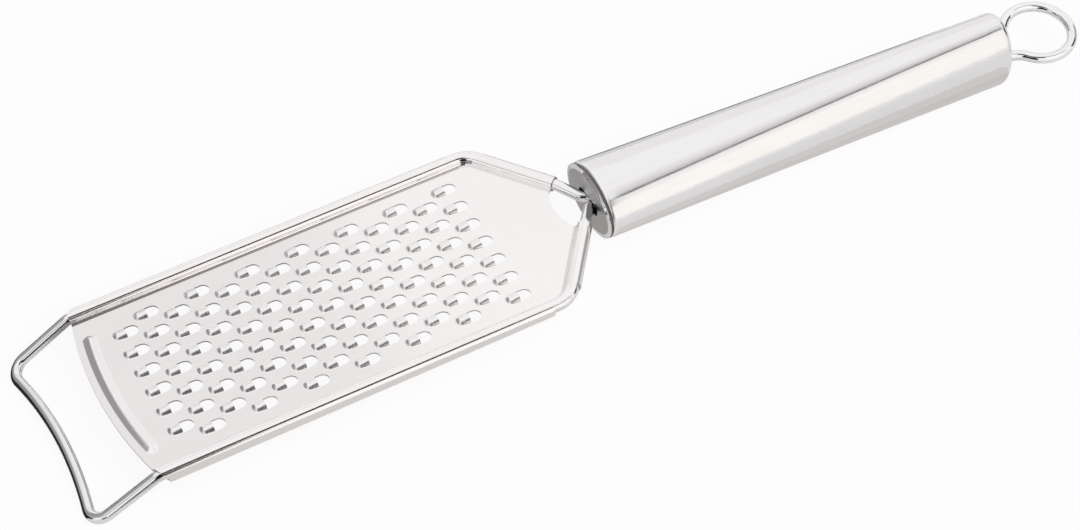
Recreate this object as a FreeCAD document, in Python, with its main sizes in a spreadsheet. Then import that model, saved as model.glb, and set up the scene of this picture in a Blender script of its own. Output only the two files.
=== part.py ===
# Flat hand grater: a toothed steel plate hemmed round a bent wire frame, with a hollow oval handle
# and a wire hanging loop. It lies on its foot bar and on the rear end of its handle, plate upwards.
import FreeCAD, Part
import math
import os

import Sketcher
from FreeCAD import Matrix, Placement, Rotation, Vector

# Driving dimensions in millimetres and degrees: alias, value, what it measures
DRIVING_SIZES = (
    # Plate
    ("sheet_thickness", 0.5, "wall of the stamped plate"),
    ("blade_length", 128.7, "middle of the front edge to the shoulders of the frame"),
    ("front_edge_radius", 132.0, "bow of the front edge"),
    ("notch_depth", 1.7, "hollow of the rear edge, between the two neck hems"),
    ("relief_radius", 0.6, "relief hole in the fold at each shoulder"),
    ("relief_offset", 2.3, "relief hole inwards from the wire"),
    ("bead_offset", 4.0, "front edge to the middle of the stiffening bead"),
    ("bead_width", 3.8, "stiffening bead, across"),
    ("bead_height", 0.9, "stiffening bead, above the sheet"),
    ("bead_side_margin", 7.6, "side of the flat sheet to the centre of the bead's round end"),
    # Teeth
    ("tooth_pitch_across", 8.0, "from tooth to tooth in one column"),
    ("tooth_pitch_along", 7.765, "from column to column"),
    ("first_edge_offset", 15.8, "middle of the front edge to the first cutting edges"),
    ("tooth_rear_margin", 10.0, "least from the last cutting edges to the shoulders"),
    ("tooth_side_margin", 5.0, "least from the middle of a tooth to the side of the flat sheet"),
    ("tooth_width", 3.8, "opening and scoop, across"),
    ("tooth_opening_length", 3.7, "cutting edge to the round end of the opening"),
    ("tooth_height", 1.3, "cutting edge above the sheet"),
    ("tooth_barrel_length", 1.85, "straight stretch of the scoop"),
    ("tooth_slope", 12.0, "fall of the scoop away from its cutting edge"),
    # Frame wire
    ("wire_diameter", 3.3, "frame wire"),
    ("frame_half_width", 33.0, "middle of the plate to the centre line of a side wire"),
    ("wire_rise", 0.4, "centre line of the side wires above the sheet's top face"),
    ("shoulder_radius", 8.0, "bend of the wire at the shoulders"),
    ("neck_angle", 54.5, "turn from the sides to the neck"),
    ("neck_bend_radius", 4.0, "bends of the wire where it dips and enters the handle"),
    ("legs_gap", 0.2, "between the two legs inside the handle"),
    ("tang_length", 30.0, "legs inside the handle"),
    ("foot_bend_offset", 3.7, "middle of the front edge to the bend of the foot"),
    ("foot_bend_radius", 4.5, "bend of the sides down to the foot"),
    ("foot_angle", 26.1, "slope of the foot below the plate"),
    ("foot_reach", 21.4, "bend to the front of the foot, along its slope"),
    ("foot_inset", 0.7, "foot's ends inwards of the side wires"),
    ("foot_corner_radius", 4.85, "corners of the foot"),
    ("foot_dip", 2.8, "hollow of the foot bar, seen square to the foot"),
    # Hems
    ("hem_clearance", 0.05, "between the wire and the sheet rolled round it"),
    ("hem_crease_radius", 1.0, "middle of the sheet where it rises from the plate"),
    ("hem_wrap_angle", 140.0, "end of the roll below the wire, from the outer side"),
    ("fold_wrap_angle", -60.0, "end of the open fold round each shoulder, from the outer side"),
    ("hem_front_slant", 26.0, "slant of the hems' front ends, outwards"),
    ("hem_front_lean", 22.0, "lean of the hems' front ends, downwards"),
    ("side_hem_setback", 6.0, "shoulder to the end of a side hem"),
    ("neck_hem_setback", 5.0, "shoulder to the start of a neck hem"),
    ("neck_hem_end", 9.6, "middle to the wire at the rear end of a neck hem"),
    ("dip_setback", 1.0, "rear end of a neck hem to the dip of the wire"),
    # Handle
    ("handle_length", 139.3, "front face to rear face"),
    ("handle_gap", 6.0, "rear ends of the neck hems to the handle's front face"),
    ("handle_drop", 1.4, "centre of the handle's front face below the sheet's top face"),
    ("handle_tilt", 2.92, "fall of the handle towards its rear end"),
    ("mouth_half_width", 13.8, "handle at its front face"),
    ("mouth_half_height", 9.7, "handle at its front face"),
    ("tail_half_width", 9.1, "handle at its rear face"),
    ("tail_half_height", 12.6, "handle at its rear face"),
    ("tube_wall", 0.8, "wall of the handle"),
    ("mouth_round", 1.2, "outer edge of the mouth"),
    ("mouth_lip", 1.7, "rolled lip of the mouth, inwards and back"),
    ("tail_round", 2.6, "outer edge of the rear cap"),
    ("cap_length", 7.0, "rear cap, along the handle"),
    ("flange_thickness", 1.0, "flange of the plug, ahead of the mouth"),
    ("flange_inset", 0.15, "flange inwards of the handle's outside"),
    ("flange_bevel", 1.4, "bright bevel round the flange, across"),
    ("flange_bevel_depth", 0.3, "bright bevel round the flange, back from the face"),
    ("plug_depth", 5.0, "plug's face to its rear end in the mouth"),
    ("plug_clearance", 0.05, "round the plug and behind its flange"),
    ("slot_side_gap", 2.3, "beside the legs in the slot"),
    ("slot_clearance", 0.35, "above and below the legs in the slot"),
    ("sleeve_offset", 1.5, "plug to the crimped sleeve"),
    ("sleeve_length", 14.0, "crimped sleeve on the legs"),
    ("sleeve_wall", 1.0, "crimped sleeve"),
    ("sleeve_clearance", 0.1, "between the legs and the sleeve"),
    # Hanging loop
    ("loop_wire_diameter", 3.1, "wire of the hanging loop"),
    ("loop_radius", 10.5, "centre line of the ring"),
    ("loop_straight", 0.2, "handle's rear face to the bends of the loop"),
    ("loop_leg_spread", 4.6, "handle's middle to the centre line of a leg"),
    ("loop_throat_radius", 8.6, "bend from a leg to the ring"),
    ("loop_turn", 7.5, "turn of the loop about the handle"),
    ("loop_leg_length", 9.0, "legs inside the handle"),
    ("loop_hole_clearance", 0.05, "between a leg and its hole"),
    ("anchor_thickness", 2.5, "anchor plate behind the cap"),
    ("anchor_margin", 0.8, "anchor plate beyond each leg"),
    ("anchor_gap", 0.1, "between the cap and the anchor plate"),
    # Overrun of every cutting shape
    ("overrun", 3.0, "how far a cutting shape passes the faces it cuts"),
)

# Two places this near, as a share of the piece's length, are one
NEARNESS_SHARE = 1e-4

ALONG = Vector(1, 0, 0)
ACROSS = Vector(0, 1, 0)
UP = Vector(0, 0, 1)


def make_sheet(doc):
    """Writes the driving dimensions into the spreadsheet and gives each an alias."""
    sheet = doc.addObject("Spreadsheet::Sheet", "Sizes")
    for row, (alias, value, note) in enumerate(DRIVING_SIZES, start=1):
        sheet.set("A%d" % row, note)
        sheet.set("B%d" % row, str(value))
        sheet.setAlias("B%d" % row, alias)
    doc.recompute()
    return sheet


class Sizes:
    """The driving dimensions, read from the sheet, and the places worked out from them."""

    def __init__(self, sheet):
        for alias, _value, _note in DRIVING_SIZES:
            setattr(self, alias, float(sheet.get(alias)))
        self.wire_radius = self.wire_diameter / 2
        self.loop_wire_radius = self.loop_wire_diameter / 2
        # Hem, in its own section: the wire stands at (0, wire_rise), the sheet comes in from the left
        self.hem_middle = self.wire_radius + self.hem_clearance + self.sheet_thickness / 2
        self.hem_outer = self.hem_middle + self.sheet_thickness / 2
        self.crease_height = self.hem_crease_radius - self.sheet_thickness / 2
        rise = self.wire_rise - self.crease_height
        self.crease_offset = math.sqrt((self.hem_middle + self.hem_crease_radius) ** 2 - rise**2)
        self.crease_turn = math.atan2(rise, self.crease_offset)
        self.flat_half_width = self.frame_half_width - self.crease_offset
        # Neck: direction of the left wire from the shoulder towards the handle
        turn = math.radians(self.neck_angle)
        self.neck_along = Vector(math.cos(turn), -math.sin(turn), 0)
        self.neck_outward = Vector(math.sin(turn), math.cos(turn), 0)
        self.shoulder = Vector(self.blade_length, self.frame_half_width, 0)
        self.neck_length = (self.frame_half_width - self.neck_hem_end) / math.sin(turn)
        self.neck_end = self.shoulder + self.neck_along * self.neck_length
        self.bend_setback = self.shoulder_radius * math.tan(turn / 2)
        self.bend_centre = self.shoulder - ALONG * self.bend_setback - ACROSS * self.shoulder_radius
        # Foot, measured along its slope from the bend
        self.corner_reach = self.foot_reach - self.foot_corner_radius
        self.corner_half_width = self.frame_half_width - self.foot_inset - self.foot_corner_radius
        self.bar_reach = self.foot_reach - self.foot_dip
        slope = math.radians(self.foot_angle)
        self.foot_forward = Vector(-math.cos(slope), 0, -math.sin(slope))
        self.foot_bend = Vector(self.foot_bend_offset, 0, self.wire_rise)
        # Handle: its front face, where its tube starts behind the flange, and the legs inside it
        self.handle_start = self.neck_end.x + self.handle_gap
        self.tube_start = self.flange_thickness + self.plug_clearance
        self.leg_offset = self.wire_radius + self.legs_gap / 2
        # Hanging loop, behind the handle's rear face: its bends stand outside the legs
        self.throat_aside = self.loop_leg_spread + self.loop_throat_radius
        throat_to_ring = math.sqrt((self.loop_radius + self.loop_throat_radius) ** 2 - self.throat_aside**2)
        self.loop_reach = self.loop_straight + throat_to_ring

    def front_edge(self, half_width):
        """Where the bowed front edge stands at a distance from the middle."""
        return self.front_edge_radius - math.sqrt(self.front_edge_radius**2 - half_width**2)

    def handle_half_width(self, distance):
        """Half width of the handle at a distance behind its front face."""
        share = distance / self.handle_length
        return self.mouth_half_width + (self.tail_half_width - self.mouth_half_width) * share

    def handle_half_height(self, distance):
        """Half height of the handle at a distance behind its front face."""
        share = distance / self.handle_length
        return self.mouth_half_height + (self.tail_half_height - self.mouth_half_height) * share


def handle_place(size):
    """The handle's own frame in the plate's: X runs back along its middle from the front face."""
    base = Vector(size.handle_start, 0, -size.handle_drop)
    return Placement(base, Rotation(ACROSS, size.handle_tilt))


def resting_place(size):
    """Lays the plate's frame down on the foot bar and on the rear end of the handle, z = 0 below."""
    foot = size.foot_bend + size.foot_forward * size.foot_reach
    bottom_fall = math.atan2(size.tail_half_height - size.mouth_half_height, size.handle_length)
    round_back = size.handle_length - size.tail_round
    round_down = size.tail_half_height - size.tail_round * (math.tan(bottom_fall) + 1 / math.cos(bottom_fall))
    tail = handle_place(size).multVec(Vector(round_back, 0, -round_down))
    span = math.hypot(tail.x - foot.x, tail.z - foot.z)
    fall = math.atan2(foot.z - tail.z, tail.x - foot.x)
    fall += math.asin((size.tail_round - size.wire_radius) / span)
    turn = Rotation(ACROSS, -math.degrees(fall))
    front = turn.multVec(foot)
    ring = handle_place(size).multVec(Vector(size.handle_length + size.loop_reach, 0, 0))
    back = turn.multVec(ring).x + size.loop_radius + size.loop_wire_radius
    middle = (front.x - size.wire_radius + back) / 2
    return Placement(Vector(-middle, 0, size.wire_radius - front.z), turn)


def mirrored(point):
    """The same point on the other side of the object."""
    return Vector(point.x, -point.y, point.z)


def line(start, end):
    """A straight edge."""
    return Part.LineSegment(start, end).toShape()


def arc(start, middle, end):
    """A round edge through three points."""
    return Part.Arc(start, middle, end).toShape()


def polar(centre, radius, degrees):
    """A point round a centre in the XY plane."""
    angle = math.radians(degrees)
    return centre + Vector(radius * math.cos(angle), radius * math.sin(angle), 0)


def arc_about(centre, radius, first, last):
    """A round edge in the XY plane from one angle to another, in degrees."""
    middle = (first + last) / 2
    return arc(polar(centre, radius, first), polar(centre, radius, middle), polar(centre, radius, last))


def rounded_corner(before, corner, after, radius):
    """The start, middle and end of the bend that rounds a corner."""
    inward = (before - corner).normalize()
    outward = (after - corner).normalize()
    half = inward.getAngle(outward) / 2
    setback = radius / math.tan(half)
    towards = (inward + outward).normalize()
    middle = corner + towards * (radius / math.sin(half) - radius)
    return corner + inward * setback, middle, corner + outward * setback


def solid_above(shape, level, reach):
    """The part of a shape above a level."""
    keep = Part.makeBox(reach * 2, reach * 2, reach, Vector(-reach, -reach, level))
    return shape.common(keep)


# Frame wire
def foot_point(size, forward, aside):
    """A point of the foot, given along its slope and across the object."""
    return size.foot_bend + size.foot_forward * forward + ACROSS * aside


def left_wire_edges(size):
    """The centre line of the left half: from the end of its leg in the handle to the foot bar."""
    inside = handle_place(size)
    leg_end = inside.multVec(Vector(size.tang_length, size.leg_offset, 0))
    dip = size.neck_end + size.neck_along * size.dip_setback + UP * size.wire_rise
    entry_run = (size.neck_end.y - size.leg_offset) / math.tan(math.radians(size.neck_angle))
    entry_back = size.neck_end.x + entry_run - size.handle_start
    entry = inside.multVec(Vector(entry_back, size.leg_offset, 0))
    shoulder = size.shoulder + UP * size.wire_rise
    bend = foot_point(size, 0, size.frame_half_width)
    # The leg of the foot runs from the bend to the round corner and touches it from outside
    to_corner = size.corner_half_width - size.frame_half_width
    reach = math.hypot(size.corner_reach, to_corner)
    aim = math.atan2(to_corner, size.corner_reach) + math.asin(size.foot_corner_radius / reach)
    touch_forward = size.corner_reach - size.foot_corner_radius * math.sin(aim)
    touch_aside = size.corner_half_width + size.foot_corner_radius * math.cos(aim)
    touch = foot_point(size, touch_forward, touch_aside)
    # The foot bar is one bow, hollow towards the front, that meets both corners
    lead = size.bar_reach - size.corner_reach
    bow = (lead**2 + size.corner_half_width**2 - size.foot_corner_radius**2) / (2 * size.foot_dip)
    bow_centre = size.bar_reach + bow
    slant = math.atan2(size.corner_half_width, bow_centre - size.corner_reach)
    join_forward = size.corner_reach + size.foot_corner_radius * math.cos(slant)
    join_aside = size.corner_half_width - size.foot_corner_radius * math.sin(slant)
    join = foot_point(size, join_forward, join_aside)
    half_turn = (math.pi / 2 + aim - slant) / 2
    round_forward = size.corner_reach + size.foot_corner_radius * math.cos(half_turn)
    round_aside = size.corner_half_width + size.foot_corner_radius * math.sin(half_turn)
    corner = foot_point(size, round_forward, round_aside)
    points = [(leg_end,)]
    points.append(rounded_corner(leg_end, entry, dip, size.neck_bend_radius))
    points.append(rounded_corner(entry, dip, shoulder, size.neck_bend_radius))
    points.append(rounded_corner(dip, shoulder, bend, size.shoulder_radius))
    points.append(rounded_corner(shoulder, bend, touch, size.foot_bend_radius))
    points.append((touch, corner, join))
    return points


def frame_wire_path(size):
    """The whole centre line of the frame wire, from one leg in the handle round to the other."""
    left = left_wire_edges(size)
    right = [tuple(mirrored(point) for point in reversed(group)) for group in reversed(left)]
    bar_middle = foot_point(size, size.bar_reach, 0)
    edges = []
    for groups in (left, right):
        for index, group in enumerate(groups):
            if index > 0:
                edges.append(line(groups[index - 1][-1], group[0]))
            if len(group) > 1:
                edges.append(arc(*group))
        if groups is left:
            edges.append(arc(left[-1][-1], bar_middle, right[0][0]))
    return Part.Wire(edges)


def make_bent_wire(doc, name, centre_line, diameter):
    """A round wire of a named diameter along its centre line."""
    path = doc.addObject("Part::Feature", name + "Path")
    path.Shape = centre_line
    first = centre_line.OrderedEdges[0]
    section = doc.addObject("Part::Circle", name + "Section")
    section.setExpression("Radius", "Sizes.%s / 2" % diameter)
    turn = Rotation(UP, first.tangentAt(first.FirstParameter))
    section.Placement = Placement(first.valueAt(first.FirstParameter), turn)
    wire = doc.addObject("Part::Sweep", name)
    wire.Sections = [section]
    wire.Spine = (path, [])
    wire.Solid = True
    wire.Frenet = False
    return wire


def make_frame_wire(doc, size):
    """One bent wire: legs in the handle, neck, shoulders, sides and foot."""
    wire = make_bent_wire(doc, "FrameWire", frame_wire_path(size), "wire_diameter")
    wire.Label = "frame_wire"
    return wire


# Grating plate
def flat_blank(size):
    """The flat sheet between the hems, with its bowed front edge and hollow rear edge."""
    side = size.flat_half_width
    front = Vector(size.front_edge(side), side, 0)
    inward = math.tan(math.radians(size.neck_angle) / 2) * size.crease_offset
    corner = Vector(size.blade_length - inward, side, 0)
    rear = size.neck_end - size.neck_outward * size.crease_offset
    before, middle, after = rounded_corner(front, corner, rear, size.shoulder_radius - size.crease_offset)
    notch = Vector(rear.x - size.notch_depth, 0, 0)
    edges = [
        arc(mirrored(front), Vector(0, 0, 0), front),
        line(front, before),
        arc(before, middle, after),
        line(after, rear),
        arc(rear, notch, mirrored(rear)),
        line(mirrored(rear), mirrored(after)),
        arc(mirrored(after), mirrored(middle), mirrored(before)),
        line(mirrored(before), mirrored(front)),
    ]
    face = Part.Face(Part.Wire(edges))
    face.translate(UP * -size.sheet_thickness)
    return face.extrude(UP * size.sheet_thickness)


def hem_section(size, wrap_angle):
    """The rolled edge in its own plane: X outward from the wire, Y up, the wire's middle at the origin."""
    half = size.sheet_thickness / 2
    rise = size.wire_rise - size.crease_height
    crease = Vector(-size.crease_offset, -rise, 0)
    meet = math.degrees(size.crease_turn)
    end = -wrap_angle
    top_start = polar(crease, size.hem_crease_radius - half, -90)
    bottom_start = polar(crease, size.hem_crease_radius + half, -90)
    middle = Vector(0, 0, 0)
    outer = size.hem_middle + half
    inner = size.hem_middle - half
    edges = [
        arc_about(crease, size.hem_crease_radius - half, -90, meet),
        arc_about(middle, outer, 180 + meet, end),
        line(polar(middle, outer, end), polar(middle, inner, end)),
        arc_about(middle, inner, end, 180 + meet),
        arc_about(crease, size.hem_crease_radius + half, meet, -90),
        line(bottom_start, top_start),
    ]
    return Part.Face(Part.Wire(edges))


def hem_face(size, start, along, outward, wrap_angle):
    """The rolled edge's section, stood across the wire at a point of its centre line."""
    frame = Matrix()
    for column, axis in enumerate((outward, UP, along), start=1):
        for row, value in enumerate((axis.x, axis.y, axis.z), start=1):
            setattr(frame, "A%d%d" % (row, column), value)
    section = hem_section(size, wrap_angle)
    section.transformShape(frame)
    section.translate(start + UP * size.wire_rise)
    return section


def hem(size, start, along, outward, length):
    """A rolled edge along a straight stretch of wire."""
    return hem_face(size, start, along, outward, size.hem_wrap_angle).extrude(along * length)


def shoulder_fold(size):
    """The open fold that follows the wire's bend at the left shoulder, with its relief hole."""
    bend_start = size.shoulder - ALONG * size.bend_setback
    bend_end = size.shoulder + size.neck_along * size.bend_setback
    bent = hem_face(size, bend_start, ALONG, ACROSS, size.fold_wrap_angle)
    before = bent.extrude(-ALONG * (size.side_hem_setback - size.bend_setback))
    after = hem_face(size, bend_end, size.neck_along, size.neck_outward, size.fold_wrap_angle)
    after = after.extrude(size.neck_along * (size.neck_hem_setback - size.bend_setback))
    bent = bent.revolve(size.bend_centre, UP, -size.neck_angle)
    towards = (size.shoulder - size.bend_centre).normalize()
    middle = size.bend_centre + towards * (size.shoulder_radius - size.relief_offset)
    low = middle - UP * (size.sheet_thickness + size.overrun)
    hole = Part.makeCylinder(size.relief_radius, size.sheet_thickness + size.overrun * 2, low, UP)
    return before.fuse([bent, after]), hole


def front_slant_cut(size):
    """The wedge that slants the front end of the left hem back, outwards and downwards."""
    side = size.flat_half_width
    front = size.front_edge(side)
    width = size.crease_offset + size.hem_outer + size.overrun
    back = front + width * math.tan(math.radians(size.hem_front_slant))
    low = size.hem_outer + size.overrun
    lean = low * math.tan(math.radians(size.hem_front_lean))
    ahead = -size.overrun
    outline = [(ahead, side), (front, side), (back, side + width), (ahead, side + width), (ahead, side)]
    wire = Part.makePolygon([Vector(x + lean, y, -low) for x, y in outline])
    return Part.Face(wire).extrude((UP * low - ALONG * lean) * 2)


def left_hems(size):
    """The side hem, the neck hem and the open fold between them on the left wire, and the relief hole."""
    front = size.front_edge(size.flat_half_width)
    side_start = Vector(front, size.frame_half_width, 0)
    side_length = size.blade_length - size.side_hem_setback - front
    side = hem(size, side_start, ALONG, ACROSS, side_length).cut(front_slant_cut(size))
    neck_start = size.shoulder + size.neck_along * size.neck_hem_setback
    neck_length = size.neck_length - size.neck_hem_setback
    neck = hem(size, neck_start, size.neck_along, size.neck_outward, neck_length)
    fold, hole = shoulder_fold(size)
    return [side, neck, fold], hole


def tooth_scoop(size, inset):
    """A barrel with a round nose that falls away from the cutting edge, smaller all round by the inset."""
    half = size.tooth_width / 2
    radius = (half**2 + size.tooth_height**2) / (2 * size.tooth_height)
    depth = radius - size.tooth_height
    slim = radius - inset
    nose = Vector(-size.tooth_barrel_length, 0, 0)
    tip = nose - ALONG * slim
    back = Vector(size.overrun, 0, 0)
    middle = nose + Vector(-1, 0, 1).normalize() * slim
    outline = [
        line(back, tip),
        arc(tip, middle, nose + UP * slim),
        line(nose + UP * slim, back + UP * slim),
        line(back + UP * slim, back),
    ]
    barrel = Part.Face(Part.Wire(outline)).revolve(Vector(0, 0, 0), ALONG, 360)
    barrel.Placement = Placement(Vector(0, 0, -depth), Rotation(ACROSS, -size.tooth_slope))
    reach = size.tooth_barrel_length + size.tooth_width + size.overrun
    keep = Part.makeBox(reach, reach * 2, reach * 2, Vector(-reach, -reach, -reach))
    return barrel.common(keep)


def tooth_opening(size):
    """The opening behind a cutting edge: straight sides and a round end."""
    half = size.tooth_width / 2
    straight = size.tooth_opening_length - half
    low = -size.sheet_thickness - size.overrun
    start = Vector(0, half, low)
    turn = Vector(straight, half, low)
    edges = [
        line(mirrored(start), start),
        line(start, turn),
        arc(turn, Vector(size.tooth_opening_length, 0, low), mirrored(turn)),
        line(mirrored(turn), mirrored(start)),
    ]
    height = size.sheet_thickness + size.overrun * 2
    return Part.Face(Part.Wire(edges)).extrude(UP * height)


def tooth_places(size):
    """The middle of every cutting edge, staggered from column to column."""
    run = size.blade_length - size.tooth_rear_margin - size.first_edge_offset
    width = (size.flat_half_width - size.tooth_side_margin) * 2
    places = []
    for column in range(int(run / size.tooth_pitch_along) + 1):
        # Every second column is full, the others hold one tooth fewer
        count = int(width / size.tooth_pitch_across) + column % 2
        for index in range(count):
            aside = (index - (count - 1) / 2) * size.tooth_pitch_across
            along = size.first_edge_offset + column * size.tooth_pitch_along
            places.append(Vector(along, aside, 0))
    return places


def bead_ridge(size, inset):
    """A bowed ridge with round ends, parallel to the front edge, smaller all round by the inset."""
    half = size.bead_width / 2
    radius = (half**2 + size.bead_height**2) / (2 * size.bead_height)
    depth = radius - size.bead_height
    bow = size.front_edge_radius - size.bead_offset
    sweep = math.degrees(math.asin((size.flat_half_width - size.bead_side_margin) / bow))
    centre = Vector(size.front_edge_radius, 0, -depth)
    ends = [polar(centre, bow, 180 - sweep), polar(centre, bow, 180 + sweep)]
    section = Part.Face(Part.Wire(Part.makeCircle(radius - inset, ends[0], ends[0].sub(centre).cross(UP))))
    ridge = section.revolve(centre, UP, 2 * sweep)
    balls = [Part.makeSphere(radius - inset, end) for end in ends]
    return ridge.fuse(balls)


def make_grating_plate(doc, size):
    """The stamped sheet: flat blank, four hems, bead and teeth."""
    flat = flat_blank(size)
    hems, relief = left_hems(size)
    hems += [shape.mirror(Vector(0, 0, 0), ACROSS) for shape in hems]
    below = -size.sheet_thickness
    reach = size.blade_length * 2
    lump = solid_above(tooth_scoop(size, 0), below, reach)
    cutter = tooth_scoop(size, size.sheet_thickness).fuse(tooth_opening(size))
    raised = [solid_above(bead_ridge(size, 0), below, reach)]
    hollows = [bead_ridge(size, size.sheet_thickness), relief, relief.mirror(Vector(0, 0, 0), ACROSS)]
    for place in tooth_places(size):
        for shape, group in ((lump, raised), (cutter, hollows)):
            copy = shape.copy()
            copy.translate(place)
            group.append(copy)
    body = flat.fuse(hems + raised).cut(Part.makeCompound(hollows)).removeSplitter()
    plate = doc.addObject("Part::Feature", "GratingPlate")
    plate.Shape = body.Solids[0] if len(body.Solids) == 1 else body
    plate.Label = "grating_plate"
    return plate


# Handle
def oval(half_width, half_height, distance):
    """A closed oval of four quarters across the handle, at a distance behind its front face."""
    quarters = [(0, 90), (90, 180), (180, 270), (270, 360)]
    unit = Part.Wire([arc_about(Vector(0, 0, 0), 1, first, last) for first, last in quarters])
    stretch = Matrix()
    stretch.A11, stretch.A12, stretch.A13, stretch.A14 = 0, 0, 1, distance
    stretch.A21, stretch.A22, stretch.A23 = half_width, 0, 0
    stretch.A31, stretch.A32, stretch.A33 = 0, half_height, 0
    return unit.transformGeometry(stretch)


def handle_form(size, start, end, inset):
    """The handle's oval form between two distances, smaller all round by the inset."""
    sections = []
    for distance in (start, end):
        half_width = size.handle_half_width(distance) - inset
        half_height = size.handle_half_height(distance) - inset
        sections.append(oval(half_width, half_height, distance))
    return Part.makeLoft(sections, True, True)


def end_edges(shape, distance):
    """The edges of a shape that lie in the plane at a distance behind the handle's front face."""
    near = shape.BoundBox.XLength * NEARNESS_SHARE
    return [edge for edge in shape.Edges
            if abs(edge.BoundBox.XMin - distance) < near and abs(edge.BoundBox.XMax - distance) < near]


def make_handle_tube(doc, size):
    """The hollow oval tube with its rolled mouth."""
    end = size.handle_length - size.cap_length
    start = size.tube_start
    outer = handle_form(size, start, end, 0)
    outer = outer.makeFillet(size.mouth_round, end_edges(outer, start))
    hollow = handle_form(size, start + size.mouth_lip, end + size.overrun, size.tube_wall)
    half_width = size.mouth_half_width - size.mouth_lip
    half_height = size.mouth_half_height - size.mouth_lip
    reach = (start - size.overrun, start + size.mouth_lip + size.overrun)
    mouth = [oval(half_width, half_height, distance) for distance in reach]
    tube = doc.addObject("Part::Feature", "HandleTube")
    tube.Shape = outer.cut(hollow).cut(Part.makeLoft(mouth, True, True))
    tube.Label = "handle_tube"
    return tube


def loop_leg_holes(size, start, length):
    """Two round bars on the lines of the loop's legs, with their clearance."""
    radius = size.loop_wire_radius + size.loop_hole_clearance
    turn = Rotation(ALONG, size.loop_turn)
    bars = []
    for aside in (size.loop_leg_spread, -size.loop_leg_spread):
        bars.append(Part.makeCylinder(radius, length, turn.multVec(Vector(start, aside, 0)), ALONG))
    return Part.makeCompound(bars)


def make_rear_cap(doc, size):
    """The drawn cap that closes the rear end, welded to the tube, with two holes for the loop."""
    start = size.handle_length - size.cap_length
    outer = handle_form(size, start, size.handle_length, 0)
    outer = outer.makeFillet(size.tail_round, end_edges(outer, size.handle_length))
    wall_start = size.handle_length - size.tube_wall
    hollow = handle_form(size, start, wall_start, size.tube_wall)
    hollow = hollow.makeFillet(size.tail_round - size.tube_wall, end_edges(hollow, wall_start))
    holes = loop_leg_holes(size, wall_start - size.overrun, size.tube_wall + size.overrun * 2)
    cap = doc.addObject("Part::Feature", "RearCap")
    cap.Shape = outer.cut(hollow).cut(holes)
    cap.Label = "rear_cap"
    return cap


def oval_disc(doc, name, inset, thickness):
    """A flat oval smaller than the mouth's outside by an inset, upright along Z, sizes as formulas."""
    outline = doc.addObject("Part::Ellipse", name + "Outline")
    outline.setExpression("MajorRadius", "Sizes.mouth_half_width - %s" % inset)
    outline.setExpression("MinorRadius", "Sizes.mouth_half_height - %s" % inset)
    disc = doc.addObject("Part::Extrusion", name)
    disc.Base = outline
    disc.DirMode = "Custom"
    disc.Dir = UP
    disc.Solid = True
    disc.setExpression("LengthFwd", thickness)
    return disc


def make_front_plug(doc, size):
    """The plug in the mouth of the handle: a bevelled flange, a spigot and the slot for the two legs."""
    flange = oval_disc(doc, "PlugFlange", "Sizes.flange_inset", "Sizes.flange_thickness")
    spigot = oval_disc(doc, "PlugSpigot", "(Sizes.mouth_lip + Sizes.plug_clearance)", "Sizes.plug_depth")
    bevel = doc.addObject("Part::Chamfer", "PlugBevel")
    bevel.Base = flange
    doc.recompute()
    near = size.flange_thickness * NEARNESS_SHARE
    rims = [index for index, edge in enumerate(flange.Shape.Edges, start=1) if edge.BoundBox.ZMax < near]
    bevel.Edges = [(index, size.flange_bevel_depth, size.flange_bevel) for index in rims]
    body = doc.addObject("Part::Fuse", "PlugBody")
    body.Base = bevel
    body.Tool = spigot
    slot = doc.addObject("Part::Feature", "PlugSlot")
    slot.Shape = slot_bar(size)
    plug = doc.addObject("Part::Cut", "FrontPlug")
    plug.Base = body
    plug.Tool = slot
    plug.Label = "front_plug"
    return plug


def slot_bar(size):
    """The bar with round ends that cuts the plug's slot, upright along Z."""
    radius = size.wire_radius + size.slot_clearance
    half = size.leg_offset + size.wire_radius + size.slot_side_gap - radius
    low = -size.overrun
    right = Vector(half, 0, low)
    left = Vector(-half, 0, low)
    edges = [
        line(polar(left, radius, 90), polar(right, radius, 90)),
        arc_about(right, radius, 90, -90),
        line(polar(right, radius, -90), polar(left, radius, -90)),
        arc_about(left, radius, 270, 90),
    ]
    return Part.Face(Part.Wire(edges)).extrude(UP * (size.plug_depth + size.overrun * 2))


def origin_plane(body, role):
    """One of a body's own origin planes."""
    return next(feature for feature in body.Origin.OriginFeatures if feature.Role == role)


def new_sketch(body, name, role):
    """A sketch on one of the body's origin planes."""
    sketch = body.newObject("Sketcher::SketchObject", name)
    sketch.AttachmentSupport = [(origin_plane(body, role), "")]
    sketch.MapMode = "FlatFace"
    return sketch


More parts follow.
